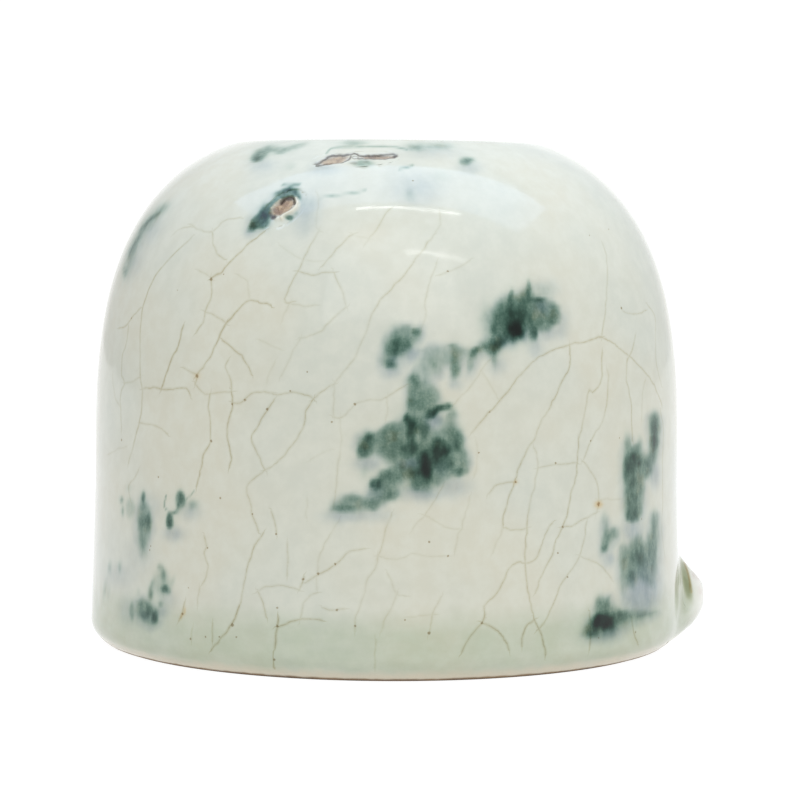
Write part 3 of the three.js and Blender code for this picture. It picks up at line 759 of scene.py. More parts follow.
# Blue haze under and beside the splashes, in the same form
HAZES = (
    (392, 371, 9, 5, 0, 0.3), (408, 356, 11, 7, 25, 0.3), (434, 422, 8, 7, 20, 0.9),
    (410, 463, 10, 4.5, 5, 0.85), (368, 463, 11, 6, 0, 0.55), (420, 494, 18, 6, 0, 0.6),
    (455, 486, 14, 9, 0, 0.45), (441, 468, 7, 8, 0, 0.4), (430, 381, 6, 5, 0, 0.35),
    (455, 384, 6, 5, 0, 0.4), (470, 372, 6, 7, 0, 0.3), (497, 366, 8, 8, 0, 0.35),
    (505, 342, 12, 6, 20, 0.6), (525, 334, 5, 6, 0, 0.6), (548, 334, 12, 6, 10, 0.45),
    (543, 307, 7, 7, 0, 0.7), (563, 322, 6, 12, 0, 0.3), (536, 348, 6, 8, 0, 0.35),
    (545, 288, 14, 8, 0, 0.2), (413, 354, 6, 6, 0, 0.5), (393, 360, 6, 4, 0, 0.45),
    (388, 373, 8, 5, 0, 0.25), (345, 516, 16, 5, 0, 0.5), (375, 493, 8, 8, 0, 0.5),
    (375, 515, 16, 6, 0, 0.3), (655, 474, 5, 12, 0, 0.6), (633, 530, 9, 9, 0, 0.65),
    (643, 592, 15, 20, 0, 0.98, 1.6), (612, 632, 14, 6, 10, 0.65), (628, 600, 8, 10, 0, 0.4),
    (660, 560, 4, 30, 0, 0.25), (609, 559, 6, 7, 0, 0.5), (648, 570, 8, 16, 0, 0.4),
    (600, 640, 14, 5, 0, 0.35), (173, 534, 9, 6, 0, 0.5), (190, 512, 9, 7, 0, 0.35),
    (146, 617, 10, 6, 0, 0.5), (162, 612, 6, 5, 0, 0.4), (125, 610, 6, 12, 0, 0.3),
    (140, 555, 12, 14, 0, 0.2), (118, 575, 12, 10, 0, 0.25), (168, 600, 8, 8, 0, 0.25),
    (150, 508, 12, 12, 0, 0.2), (249.5, 232, 5, 4, 0, 0.5), (306, 208, 12, 12, 20, 0.42),
    (304, 226, 10, 10, 0, 0.22), (325, 168, 12, 5, 0, 0.35), (262, 165, 12, 6, 0, 0.3),
    (415, 190, 22, 14, 0, 0.3), (470, 167, 10, 5, 0, 0.35), (430, 152, 26, 6, 0, 0.25),
    (150, 232, 8, 14, -35, 0.3), (134, 262, 7, 16, -18, 0.3),
)

# The paler wash that joins the spots: how dark, how soft the edge is in pixels, and its corners
WASHES = (
    (0.28, 5.5, (408, 386), (411, 375), (417, 368), (424, 362), (422, 352), (428, 346), (439, 344.5),
     (449, 344.5), (461, 347), (469, 351), (475, 349.5), (481, 344), (486, 337), (489, 331), (500, 333),
     (506, 343), (500, 350), (495, 358), (490, 358), (488, 354), (481, 355), (476, 362), (473, 368),
     (470, 369), (467, 362), (463, 364), (460, 372), (455, 378), (451, 375), (450, 367), (444, 368),
     (441, 375), (435, 376), (433, 384), (420, 388)),
    (0.39, 5.5, (408, 400), (407, 390), (409, 382), (416, 376), (427, 377), (434, 384), (437, 391),
     (440, 398), (440, 404), (445, 408), (436, 416), (424, 418), (410, 416)),
    (0.44, 6.0, (356, 445), (358, 437), (367, 432), (377, 432), (385, 427), (394, 425), (401, 420),
     (406, 413), (420, 410), (429, 411), (431, 426), (440, 429), (448, 425), (449, 412), (453, 414),
     (456, 426), (463, 437), (467, 451), (470, 462), (466, 470), (458, 475), (452, 479), (444, 480),
     (431, 485), (424, 488), (412, 486), (405, 480), (398, 486), (397, 494), (388, 499), (376, 502),
     (370, 494), (370, 487), (375, 480), (382, 471), (392, 466), (386, 459), (374, 456), (364, 457)),
    (0.32, 5.0, (333, 509), (336, 501), (344, 497), (356, 495), (366, 499), (377, 494), (388, 492),
     (390, 497), (384, 503), (374, 511), (362, 512), (347, 514), (337, 513)),
    (0.48, 6.0, (490, 332), (489, 322), (491, 312), (496, 304), (503, 297), (510, 294), (518, 293),
     (526, 288), (532, 287), (536, 294), (546, 296), (553, 301), (559, 307), (561, 315), (557, 325),
     (549, 331), (539, 334), (536, 340), (529, 334), (525, 337), (516, 340), (507, 343), (498, 344)),
    (0.4, 5.0, (381, 358), (384, 347), (387, 338), (394, 329), (402, 325), (410, 326), (415, 329),
     (421, 327), (422, 333), (418, 340), (412, 346), (407, 354), (400, 358), (394, 365), (388, 368),
     (381, 364)),
    (0.42, 4.0, (650, 416), (655, 413), (660, 417), (660, 428), (660, 443), (658, 454), (655, 464),
     (651, 469), (646, 466), (646, 458), (651, 449), (651, 438), (649, 426)),
    (0.48, 4.5, (624, 456), (626, 443), (630, 438), (633, 445), (640, 443), (643, 451), (646, 459),
     (652, 462), (654, 471), (650, 477), (646, 481), (645, 492), (644, 503), (643, 513), (639, 522),
     (633, 523), (627, 520), (625, 507), (624, 490)),
    (0.36, 4.5, (606, 518), (610, 528), (618, 528), (619, 535), (614, 542), (608, 551), (603, 554),
     (602, 546), (604, 537), (604, 528)),
    (0.44, 7.0, (633, 537), (639, 533), (645, 539), (650, 529), (652, 514), (658, 514), (660, 529),
     (659, 550), (657, 572), (654, 588), (646, 584), (639, 580), (634, 589), (626, 588), (620, 577),
     (619, 558), (622, 547), (628, 545)),
    (0.42, 5.5, (584, 634), (588, 623), (594, 612), (598, 604), (603, 597), (611, 595), (614, 604),
     (622, 609), (633, 612), (646, 611), (658, 611), (652, 616), (640, 621), (627, 624), (618, 628),
     (611, 632), (601, 636), (592, 638)),
    (0.4, 4.5, (138, 507), (142, 497), (150, 507), (152, 527), (147, 545), (141, 556), (137, 541),
     (136, 520)),
    (0.4, 4.5, (135, 601), (142, 597), (150, 603), (158, 609), (158, 622), (150, 626), (140, 621),
     (134, 612)),
    (0.55, 1.8, (248.7, 227), (250, 219), (258, 212), (265, 204), (271, 200), (276, 194.5), (287, 187.5),
     (296.6, 190), (300, 196), (297, 201), (291, 196), (283, 198), (275, 204), (270, 211), (270, 217),
     (266, 223), (258, 227.5), (252, 230)),
)

# Small rust-coloured stains in the glaze, in the form of the spots
RUSTS = (
    (599, 504.5, 3.4, 2.8, 0, 0.6), (184, 611, 1.1, 3.2, 0, 0.4), (181, 616, 1.1, 3, -20, 0.4),
    (197, 376, 3, 2.6, 0, 0.2), (516, 482, 2, 2, 0, 0.3),
)

# Splashes on the sides that the photograph doesn't show, in the same style: azimuth in degrees, height,
# half width and half height in millimetres, tilt and how dark
UNSEEN_SPLASHES = (
    (205, 60, 4.2, 3.2, 10, 0.8), (212, 58, 3.0, 3.4, 0, 0.85), (220, 61, 2.6, 1.8, 20, 0.6),
    (198, 55, 2.4, 2.0, 0, 0.5), (193, 51, 1.6, 2.6, 0, 0.4), (206, 52, 1.6, 3.0, 0, 0.5),
    (166, 35, 2.0, 4.2, 0, 0.75), (171, 33, 2.6, 2.2, 0, 0.85), (161, 30, 2.2, 1.6, 20, 0.6),
    (177, 36, 1.6, 1.4, 0, 0.45), (168, 26, 1.4, 2.2, 0, 0.4), (255, 24, 3.4, 2.6, 0, 0.75),
    (261, 27, 2.0, 3.4, -20, 0.6), (249, 20, 2.2, 1.4, 0, 0.5), (256, 14, 1.6, 2.2, 0, 0.3),
    (228, 40, 1.4, 2.4, 0, 0.45), (120, 52, 1.8, 3.4, 0, 0.6), (125, 55, 2.2, 1.6, 30, 0.5),
    (117, 47, 1.2, 1.8, 0, 0.4), (143, 12, 3.0, 2.0, 0, 0.7), (149, 14, 2.0, 2.6, 0, 0.55),
    (185, 84, 4.5, 2.2, 0, 0.6), (176, 82, 2.2, 1.6, 0, 0.5), (238, 80, 2.6, 1.8, 20, 0.55),
    (140, 78, 2.4, 1.6, -20, 0.5), (205, 13, 3.2, 1.6, 0, 0.6), (285, 70, 1.8, 2.8, 0, 0.4),
)
UNSEEN_HAZES = (
    (209, 53, 6, 3, 0, 0.5), (170, 27, 4, 3, 0, 0.5), (257, 18, 5, 3, 0, 0.5), (122, 46, 3, 3, 0, 0.4),
    (146, 9, 4, 2, 0, 0.4), (184, 79, 5, 2, 0, 0.4), (206, 10, 4, 2, 0, 0.4),
)

# What the photograph shows on the lug, in its pixels
LUG_POOLS = (
    (686.5, 580, 3.6, 18, 12, 0.95), (686.5, 588, 2.6, 9, 8, 0.5), (678.5, 577, 2.4, 9, 0, 0.4),
    (686, 604, 3.6, 8, 0, 0.14),
)
LUG_GOLD = (
    (0.5, 0.8, (684.5, 563), (687.5, 572), (689.8, 582), (691.2, 592)),
)
LUG_BLUSH = ((697, 573, 4.5, 6, 0, 0.7), (693, 563, 3, 5, 0, 0.4), (700, 590, 3, 6, 0, 0.3))

# Bare scars: an oval patch, placed by the photograph's pixel with half sizes in millimetres, and what is
# drawn on it in the photograph's pixels: spots as in the splashes, and lines with strength and half width
SCARS = {
    "shoulder_scar": {
        "replaces": "shoulder_stub",
        "middle": (283.5, 207.5),
        "half_length": 4.5,
        "half_width": 3.3,
        "tilt": 46.0,
        "bare": ((282.3, 205.8, 12.6, 6.4, 31, 1.0),),
        "burnt": (
            (288.5, 197, 4.6, 2.0, 10, 0.9), (293.4, 200.5, 1.6, 3.2, 0, 0.8),
            (272.6, 216.2, 3.2, 2.8, 20, 1.0), (270.3, 213.3, 1.6, 2.4, 0, 0.6),
            (275, 209.5, 3.2, 3.0, 0, 0.2),
        ),
        "burnt_lines": (
            (0.95, 1.3, (280, 201.4), (284.5, 197.6), (290, 196.3), (293.6, 198.8), (293.6, 203)),
            (0.45, 0.8, (280, 214.5), (287, 210.7), (291, 207)),
        ),
        "lip_and_highlight_lines": (
            (1.0, 1.8, (295.8, 198.5), (297.3, 202.3), (295.5, 207), (291.8, 210.3), (286.4, 213.6),
             (281, 217.7)),
            (0.4, 1.4, (281, 217.7), (276.4, 218.2)),
            (0.6, 1.0, (271, 207.7), (276.4, 202.3), (280, 199.5)),
        ),
    },
    "crown_scar": {
        "replaces": "crown_stub",
        "middle": (355.5, 158.5),
        "half_length": 8.6,
        "half_width": 2.5,
        "tilt": 7.0,
        "bare": ((334, 159.3, 14, 3.6, 12, 0.8), (378, 156, 17.5, 1.7, 0, 0.8)),
        "burnt": (
            (316.7, 164.3, 3.2, 2.2, 10, 0.7), (395.3, 155.6, 2.4, 1.3, 0, 0.9),
            (370, 156, 9, 1.6, 0, 0.32), (353.3, 162.3, 3.8, 1.4, 0, 0.3), (365.8, 161, 2.8, 1.6, 0, 0.2),
        ),
        "burnt_lines": (
            (0.85, 0.75, (318, 162.5), (326.7, 157), (333.3, 154.9), (346.7, 154), (355, 153.3),
             (359, 155)),
            (0.8, 0.75, (318, 165.5), (326.7, 163.2), (340, 161.8), (348.3, 159.3), (351, 155.2)),
            (0.8, 0.7, (359, 155), (366, 154.7), (380, 154.1), (390, 153.6), (397, 154.4)),
            (0.75, 0.7, (357.5, 158), (366, 158.1), (380, 158.3), (395, 157.2)),
            (0.5, 0.55, (351.8, 157), (354, 155.6), (357.6, 156.2), (357.6, 157.8), (354, 158.4),
             (351.8, 157)),
        ),
        "lip_and_highlight_lines": (
            (0.2, 1.6, (318, 169), (330, 166), (345, 164.5)),
        ),
    },
}

# How the marks are drawn
SPOT_SOFTNESS = 1.12
SPOT_FALL = 0.7  # how fast a spot or a stroke fades from its middle
SPOT_REACH = 2.8  # how many times its own size away a spot is worked out
SPOT_SHARE = 0.93  # the splashes' spots are drawn this much of what they are listed as
HALO = 0.22  # how dark the wide halo is round each spot
HALO_GROWTH = 1.3
HALO_PAD = 2.0
FRINGE = 0.45  # how strong the blue haze is just outside a wash
FRINGE_REACH = 3.0
FRINGE_SOFTNESS = 5.0
FRINGE_DROP = 1.5  # how many pixels below its wash the haze lies
FRINGE_FADE = 1.8  # how fast the haze gives way to the colour itself
STROKE_STEP = 2.0
STROKE_REACH = 4.0
INK_POWER = 1.9  # makes the middle of a splash darker than its edge
INK_JOIN = 4  # the higher, the more the strongest of spots, washes and strokes decides
INK_WARP = 1.9  # how many pixels the colour wanders
INK_WARP_SIZE = 1.7
INK_SHIFTS = (0.0, 31.7)
BRISTLES = 1.3  # how far the colour runs up and down in narrow bristles
BRISTLE_SIZE = 1.3
BRISTLE_STRETCH = (1.0, 1.0, 0.25)
BRISTLE_SHIFT = 55.0
STEADY_POWER = 1.5  # near the outline, where a pixel is wide on the pot, the colour wanders less
LEAST_FACING = 0.1
SEEN_FROM = -0.1  # how squarely a point faces the camera where the photograph's marks begin
SEEN_OVER = 0.08
UNSEEN_WARP = 0.35  # the same wandering on the other sides, in millimetres for each pixel
UNSEEN_FROM = 72.0  # the drawn crackle gives way to a cell pattern from this azimuth
UNSEEN_OVER = 14.0


# Fields of the marks, a number for each point of a surface

def smoothed(points, step):
    """A curve through these points, as short straight steps"""
    points = np.asarray(points, float)
    padded = np.concatenate([[2 * points[0] - points[1]], points, [2 * points[-1] - points[-2]]])
    curve = []
    for a, b, c, d in zip(padded, padded[1:], padded[2:], padded[3:]):
        count = max(2, math.ceil(np.linalg.norm(c - b) / step))
        t = (np.arange(count) / count)[:, None]
        bend = 2 * b + (c - a) * t + (2 * a - 5 * b + 4 * c - d) * t**2 + (3 * b - a - 3 * c + d) * t**3
        curve.append(bend / 2)
    return np.concatenate([*curve, points[-1:]])


def near_box(points, low, high, margin):
    """Numbers of the points inside a box, or within a margin of it"""
    return np.flatnonzero(np.all((points > low - margin) & (points < high + margin), axis=1))


def off_legs(points, start, leg):
    """From each straight leg of a path to each point: the offset from its start, and how far away"""
    offset = points[:, None] - start[None]
    share = np.clip((offset * leg).sum(2) / (leg**2).sum(1), 0.0, 1.0)
    return offset, np.linalg.norm(offset - share[..., None] * leg, axis=2)


def crack_lines():
    """Each crackle line as (strength, points in space), made slightly unsteady"""
    chance = np.random.default_rng(CRACK_SEED)
    lines = []
    for share, group in CRACK_GROUPS:
        for strength, *pixels in group:
            path = smoothed([seen_at(x, y) for x, y in pixels], CRACK_STEP)
            path[1:-1] += chance.normal(0.0, CRACK_JITTER, (len(path) - 2, 3))
            lines.append((share * strength, path))
    return lines


def layered(marks, count, clear_by):
    """Deals the marks out into layers so that no two of one layer come near each other"""
    layers = [[] for _ in range(count)]
    for strength, path in marks:
        room = []
        for layer in layers:
            gaps = [np.linalg.norm(path[:, None] - other[None], axis=2).min() for _, other in layer]
            room.append(min(gaps, default=math.inf))
        clear = [k for k, gap in enumerate(room) if gap > clear_by]
        layers[clear[0] if clear else int(np.argmax(room))].append((strength, path))
    return layers


def crack_field(points, normals, lines):
    """For each point: signed distance to the nearest line, plain distance to it, and its strength"""
    field = np.full((len(points), 3), (NOWHERE, NOWHERE, 0.0))
    for strength, path in lines:
        near = near_box(points, path.min(0), path.max(0), CRACK_REACH)
        if not len(near):
            continue
        leg = np.diff(path, axis=0)
        offset, away = off_legs(points[near], path[:-1], leg)
        nearest = away.argmin(1)
        rows = np.arange(len(near))
        distance = away[rows, nearest]
        side = np.cross(leg[nearest], normals[near])
        sign = np.where((side * offset[rows, nearest]).sum(1) < 0, -1.0, 1.0)
        better = (distance < CRACK_REACH) & (distance < field[near, 1])
        chosen = near[better]
        field[chosen, 0] = (sign * distance)[better]
        field[chosen, 1] = distance[better]
        field[chosen, 2] = strength
    return field


def speck_field(points, azimuth, specks):
    """For each point: how far across and up the nearest speck lies, in its half widths, and how far"""
    field = np.full((len(points), 3), NOWHERE)
    for size, path in specks:
        offset = points - path[0]
        distance = np.linalg.norm(offset, axis=1)
        near = np.flatnonzero((distance < SPECK_REACH) & (distance < field[:, 2]))
        turn = np.radians(azimuth[near])
        across = offset[near, 0] * np.cos(turn) + offset[near, 1] * np.sin(turn)
        up = np.sign(offset[near, 2]) * np.sqrt(np.clip(distance[near] ** 2 - across**2, 0.0, None))
        field[near] = np.stack([across / size, up / size, distance[near]], axis=1)
    return field


def tilted(across, up, degrees):
    """These offsets as lengths along and over an axis that is tilted anticlockwise"""
    turn = math.radians(degrees)
    return across * math.cos(turn) + up * math.sin(turn), up * math.cos(turn) - across * math.sin(turn)


def spot_sum(across, down, spots, softness=SPOT_SOFTNESS):
    """How much these spots together cover each point, from 0 to 1"""
    total = np.zeros(len(across))
    for x, y, half_width, half_height, tilt, strength, *firm in spots:
        reach = SPOT_REACH * max(half_width, half_height)
        near = np.flatnonzero((np.abs(across - x) < reach) & (np.abs(down - y) < reach))
        along, over = tilted(across[near] - x, y - down[near], tilt)
        squared = (along / half_width) ** 2 + (over / half_height) ** 2
        weight = strength * np.exp(-SPOT_FALL * squared ** (firm[0] if firm else softness))
        total[near] = 1 - (1 - total[near]) * (1 - weight)
    return total


def washed(across, down, spots):
    """The cover of these spots together with their halos"""
    wide = [(*s[:2], s[2] * HALO_GROWTH + HALO_PAD, s[3] * HALO_GROWTH + HALO_PAD, *s[4:6]) for s in spots]
    halo = HALO * spot_sum(across, down, wide, softness=1.0)
    return 1 - (1 - spot_sum(across, down, spots)) * (1 - halo)


def wash_sum(across, down, washes, reach=0.0):
    """How much these washes cover each point, with their outlines moved out by a reach in pixels"""
    total = np.zeros(len(across))
    places = np.stack([across, down], axis=1)
    for strength, soft, *corners in washes:
        start = np.array(corners, float)
        leg = np.roll(start, -1, axis=0) - start
        near = near_box(places, start.min(0), start.max(0), soft + reach)
        offset, away = off_legs(places[near], start, leg)
        level = (offset[..., 1] >= 0) != (offset[..., 1] >= leg[:, 1])
        rise = np.where(leg[:, 1] == 0, 1.0, leg[:, 1])
        inside = (level & (offset[..., 0] < offset[..., 1] * leg[:, 0] / rise)).sum(1) % 2
        signed = np.where(inside == 1, away.min(1), -away.min(1)) + reach
        total[near] = np.maximum(total[near], strength * eased(signed / soft / 2 + 0.5))
    return total


def line_sum(across, down, lines):
    """How much these thin lines, each (strength, half width, pixels), cover each point"""
    total = np.zeros(len(across))
    places = np.stack([across, down], axis=1)
    for strength, half_width, *pixels in lines:
        path = smoothed(pixels, STROKE_STEP)
        near = near_box(places, path.min(0), path.max(0), STROKE_REACH * half_width)
        _, away = off_legs(places[near], path[:-1], np.diff(path, axis=0))
        faded = strength * np.exp(-SPOT_FALL * (away.min(1) / half_width) ** 2)
        total[near] = np.maximum(total[near], faded)
    return total


def unrolled(spots):
    """Spots given by azimuth and height, moved onto the unrolled wall"""
    return [(math.radians(a) * WALL_RADIUS, -run_at(h), *rest) for a, h, *rest in spots]


def seen_ink(x, y, strokes, seen):
    """Blue-green colour and blue haze of the side that the photograph shows"""
    spots = [(*s[:5], s[5] * SPOT_SHARE, *s[6:]) for group in SPLASHES.values() for s in group]
    covers = (washed(x, y, spots), wash_sum(x, y, WASHES), strokes)
    joined = sum(cover**INK_JOIN for cover in covers) ** (1 / INK_JOIN)
    ink = np.minimum(joined, 1.0) * seen
    edges = [(FRINGE, FRINGE_SOFTNESS, *corners) for _, _, *corners in WASHES]
    fringe = wash_sum(x, y - FRINGE_DROP, edges, FRINGE_REACH) * (1 - np.clip(FRINGE_FADE * ink, 0.0, 1.0))
    return ink, np.maximum(spot_sum(x, y, HAZES), fringe) * seen


def ink_fields(points, normals, azimuth, heights):
    """How much blue-green colour, and how much blue haze round it, each point has"""
    across, down, facing = pixels_of(points, normals)
    seen = np.clip((facing - SEEN_FROM) / SEEN_OVER, 0.0, 1.0)
    steady = np.clip(facing, LEAST_FACING, 1.0) ** STEADY_POWER
    right, low = [steady * INK_WARP * swirl(points, INK_WARP_SIZE, shift) for shift in INK_SHIFTS]
    bristles = steady * BRISTLES * swirl(points * BRISTLE_STRETCH, BRISTLE_SIZE, BRISTLE_SHIFT)
    strokes = line_sum(across + right / 2, down + low / 2, INK_LINES)
    ink, haze = seen_ink(across + right, down + low + bristles, strokes, seen)
    u = np.radians(np.where(azimuth < 0, azimuth + 360.0, azimuth)) * WALL_RADIUS + right * UNSEEN_WARP
    v = -run_at(heights) + low * UNSEEN_WARP
    ink = np.maximum(ink, spot_sum(u, v, unrolled(UNSEEN_SPLASHES)) * (1 - seen))
    haze = np.maximum(haze, spot_sum(u, v, unrolled(UNSEEN_HAZES)) * (1 - seen))
    return ink**INK_POWER, haze


def store_marks(piece, points, azimuth, heights, cracks, specks):
    """Writes the crackle, specks and splashes of the outer surface onto a piece's points"""
    normals = outward(azimuth, heights)
    for k, lines in enumerate(cracks):
        store(piece, f"crack_{k}", crack_field(points, normals, lines))
    for k, group in enumerate(specks):
        store(piece, f"speck_{k}", speck_field(points, azimuth, group))
    ink, haze = ink_fields(points, normals, azimuth, heights)
    store(piece, "ink", ink)
    store(piece, "haze", haze)
    across, down, facing = pixels_of(points, normals)
    store(piece, "rust", spot_sum(across, down, RUSTS) * (facing > 0))
    store(piece, "unseen", np.clip((np.abs(azimuth) - UNSEEN_FROM) / UNSEEN_OVER, 0.0, 1.0))


# Colours

def linear(value):
    share = value / 255
    return share / 12.92 if share <= 0.04045 else ((share + 0.055) / 1.055) ** 2.4


def srgb(red, green, blue):
    """A display colour, 0 to 255, as the linear colour that a shader takes"""
    return (linear(red), linear(green), linear(blue), 1.0)


LIT_GLAZE = srgb(207, 209, 197)  # the pale glaze as it looks in the studio light


def stain(red, green, blue):
    """What share of light a stain lets pass, if it turns the glaze as it looks into this display colour"""
    return tuple(linear(shown) / clear for shown, clear in zip((red, green, blue), LIT_GLAZE))


WHITE = (1.0, 1.0, 1.0, 1.0)
PALE_GLAZE = srgb(190, 191, 178)
COOL_GLAZE = srgb(181, 183, 171)
WARM_GLAZE = srgb(185, 183, 167)
CREAM_GLAZE = srgb(190, 180, 160)
# Paler glaze where the lug stands out: partly thinner glaze, partly a painted highlight from the light above
PROUD_GLAZE_AND_HIGHLIGHT = srgb(221, 219, 211)
# The glaze lip round the scars: paler partly as thick glaze, partly as a painted highlight
LIP_GLAZE_AND_HIGHLIGHT = srgb(202, 196, 178)
POOLED = stain(187, 194, 176)
INK_TEAL = stain(15, 40, 31)
INK_MOSS = stain(15, 32, 19)
INK_BROWN = stain(40, 34, 32)
HAZE = stain(150, 163, 167)
CRACK_CORE = stain(156, 148, 120)
CRACK_STAIN = stain(189, 188, 168)
SPECK = stain(104, 88, 62)
RUST = stain(196, 160, 108)
LUG_BLUSHED = stain(182, 170, 160)
LUG_POOLED = stain(140, 148, 116)
LUG_GOLDEN = stain(160, 130, 84)
BURNT = srgb(50, 37, 27)
SCAR_CLAYS = (srgb(172, 150, 124), srgb(134, 113, 96), srgb(112, 92, 76))  # light, dark and pits
# Bare foot clay (light, dark and pits), painted darker than the clay's own tan as painted contact shade at
# the table
FOOT_CLAYS_WITH_CONTACT_SHADE = (srgb(122, 99, 70), srgb(96, 76, 54), srgb(86, 66, 46))
BODY_CLAYS = (srgb(214, 194, 168), srgb(190, 166, 136), srgb(190, 166, 136))
FLOOR_GREY = srgb(112, 112, 112)

GLAZE_IOR = 1.35
CRACK_WANDER = 0.26
CORE_WIDTH = (0.15, 0.02)  # how far from a line its dark core ends, and where it is full
STAIN_WIDTH = (0.48, 0.04)
CORE_DEPTH = 0.26
STAIN_DEPTH = 0.62
CELL_SHARE = (1.0, 1.0, 0.7)  # the cells of the sides that the photograph doesn't show are tall
CELLS = 58.0  # to the metre
CELL_CORE = (0.009, 0.002)
CELL_STAIN = (0.028, 0.003)
CELL_DRIFT = (0.012, 0.012, 0.02)
CELL_DRIFT_SCALE = 70.0
PORES = 190.0

# Where the glaze changes, in metres: heights, and for the foot's wash also a distance from the axis
POOL_TOP = (0.0155, 0.0095)
POOL_FOOT = (0.0025, 0.0048)
POOL_WAVE = 0.004
CREAM_TOP = (0.0034, 0.0014)
CREAM_WAVE = 0.0016
WASH_FOOT = (0.0006, 0.0011)
WASH_WAVE = 0.0005
WASH_OUTSIDE = (0.0495, 0.0505)


# Materials

class Nodes:
    """Adds nodes to one node tree, with short names for the usual ones"""

    def __init__(self, tree):
        self.tree = tree

    def feed(self, socket, value):
        if isinstance(value, bpy.types.NodeSocket):
            self.tree.links.new(value, socket)
        elif value is not None:
            socket.default_value = value

    def add(self, kind, inputs, **settings):
        """A node with these settings, and with its inputs, by name or number, linked or set"""
        node = self.tree.nodes.new(kind)
        for name, value in settings.items():
            setattr(node, name, value)
        for key, value in inputs.items():
            self.feed(node.inputs[key], value)
        return node

    def math(self, operation, *values):
        return self.add("ShaderNodeMath", dict(enumerate(values)), operation=operation).outputs[0]

    def times(self, *values):
        """The product of these values"""
        product = values[0]
        for value in values[1:]:
            product = self.math("MULTIPLY", product, value)
        return product

    def ranged(self, value, low, high, to_low=0.0, to_high=1.0, kind="SMOOTHSTEP"):
        """A step from to_low to to_high as value goes from low to high"""
        inputs = dict(enumerate((value, low, high, to_low, to_high)))
        return self.add("ShaderNodeMapRange", inputs, interpolation_type=kind).outputs[0]

    def split(self, vector):
        return self.add("ShaderNodeSeparateXYZ", {0: vector}).outputs


class Paint(Nodes):
    """The nodes of one material"""

    def __init__(self, name):
        self.material = bpy.data.materials.new(name)
        self.material.use_nodes = True
        super().__init__(self.material.node_tree)
        self.shader = self.tree.nodes["Principled BSDF"]
        self.place = self.add("ShaderNodeTexCoord", {}).outputs["Object"]

    def stretched(self, place, stretch):
        return self.add("ShaderNodeMapping", {"Vector": place, "Scale": stretch}).outputs[0]

    def noise(self, size, detail=2.0, roughness=0.5, stretch=None):
        """Noise with features of this size in millimetres, mostly from 0.3 to 0.7"""
        place = self.stretched(self.place, stretch) if stretch else self.place
        inputs = {"Vector": place, "Scale": 1.0 / (size * MM), "Detail": detail, "Roughness": roughness}
        return self.add("ShaderNodeTexNoise", inputs, noise_dimensions="3D").outputs["Fac"]

    def mixed(self, share, a, b, blend="MIX"):
        """Colour a turning into colour b"""
        inputs = {"Factor": share, "A": a, "B": b}
        return self.add("ShaderNodeMix", inputs, data_type="RGBA", blend_type=blend).outputs["Result"]

    def stained(self, colour, clear, depth):
        """The colour seen through a stain that lets the shares in clear pass at depth 1"""
        shares = {k: self.math("POWER", share, depth) for k, share in enumerate(clear)}
        joined = self.add("ShaderNodeCombineColor", shares).outputs[0]
        return self.mixed(1.0, colour, joined, "MULTIPLY")

    def stored(self, name, vector=False):
        """What store() kept under this name"""
        return self.add("ShaderNodeAttribute", {}, attribute_name=name).outputs["Vector" if vector else "Fac"]

    def bump(self, height, depth):
        """Raises the surface by height times depth, in millimetres"""
        inputs = {"Strength": 1.0, "Distance": depth * MM, "Height": height}
        return self.add("ShaderNodeBump", inputs).outputs[0]

    def finish(self, colour, roughness, normal=None, **constants):
        """Sets the shader's inputs and gives the material"""
        inputs = {"Base Color": colour, "Roughness": roughness, "Normal": normal}
        for name, value in {**inputs, **constants}.items():
            self.feed(self.shader.inputs[name], value)
        return self.material


def glaze_colour(paint):
    """Pale glaze that drifts in hue, pools green near the foot and turns to cream at its edge"""
    warm = paint.ranged(paint.noise(24.0), 0.35, 0.65)
    colour = paint.mixed(warm, COOL_GLAZE, WARM_GLAZE)
    pale = paint.ranged(paint.noise(3.0, 4.0, 0.6), 0.3, 0.75, 0.0, 0.7)
    colour = paint.mixed(pale, colour, PALE_GLAZE)
    height = paint.split(paint.place)[2]
    level = paint.math("MULTIPLY_ADD", paint.noise(12.0, 3.0), POOL_WAVE, height)
    pooled = paint.times(paint.ranged(level, *POOL_TOP), paint.ranged(level, *POOL_FOOT, 0.55, 1.0))
    cloudy = paint.ranged(paint.noise(6.0, 3.0, 0.5, (1.0, 1.0, 1.6)), 0.3, 0.7, 0.75, 1.15)
    colour = paint.stained(colour, POOLED, paint.times(pooled, cloudy))
    ragged = paint.math("MULTIPLY_ADD", paint.noise(2.5, 3.0), CREAM_WAVE, height)
    return paint.mixed(paint.ranged(ragged, *CREAM_TOP, 0.0, 0.85), colour, CREAM_GLAZE)


def with_splashes(paint, colour):
    """Adds the blue-green splashes and the haze round them, like stains in a clear layer"""
    streaks = paint.noise(1.5, 2.0, 0.5, (1.0, 1.0, 0.6))
    cloud = paint.times(paint.stored("haze"), paint.ranged(streaks, 0.3, 0.7, 0.85, 1.15))
    colour = paint.stained(colour, HAZE, cloud)
    ink = paint.stored("ink")
    uneven = paint.times(ink, paint.ranged(streaks, 0.3, 0.7, 0.8, 1.2))
    grain = paint.math("SUBTRACT", paint.noise(0.42, 2.0, 0.6), 0.5)
    speckle = paint.times(grain, paint.ranged(ink, 0.06, 0.4, 0.0, 0.25))
    depth = paint.math("MAXIMUM", paint.math("ADD", uneven, speckle), 0.0)
    moss = paint.ranged(paint.noise(3.2), 0.55, 0.75)
    teal = paint.math("SUBTRACT", 1.0, moss)
    colour = paint.stained(colour, INK_TEAL, paint.times(depth, teal))
    colour = paint.stained(colour, INK_MOSS, paint.times(depth, moss))
    return paint.stained(colour, INK_BROWN, paint.ranged(ink, 0.7, 0.98, 0.0, 0.25))


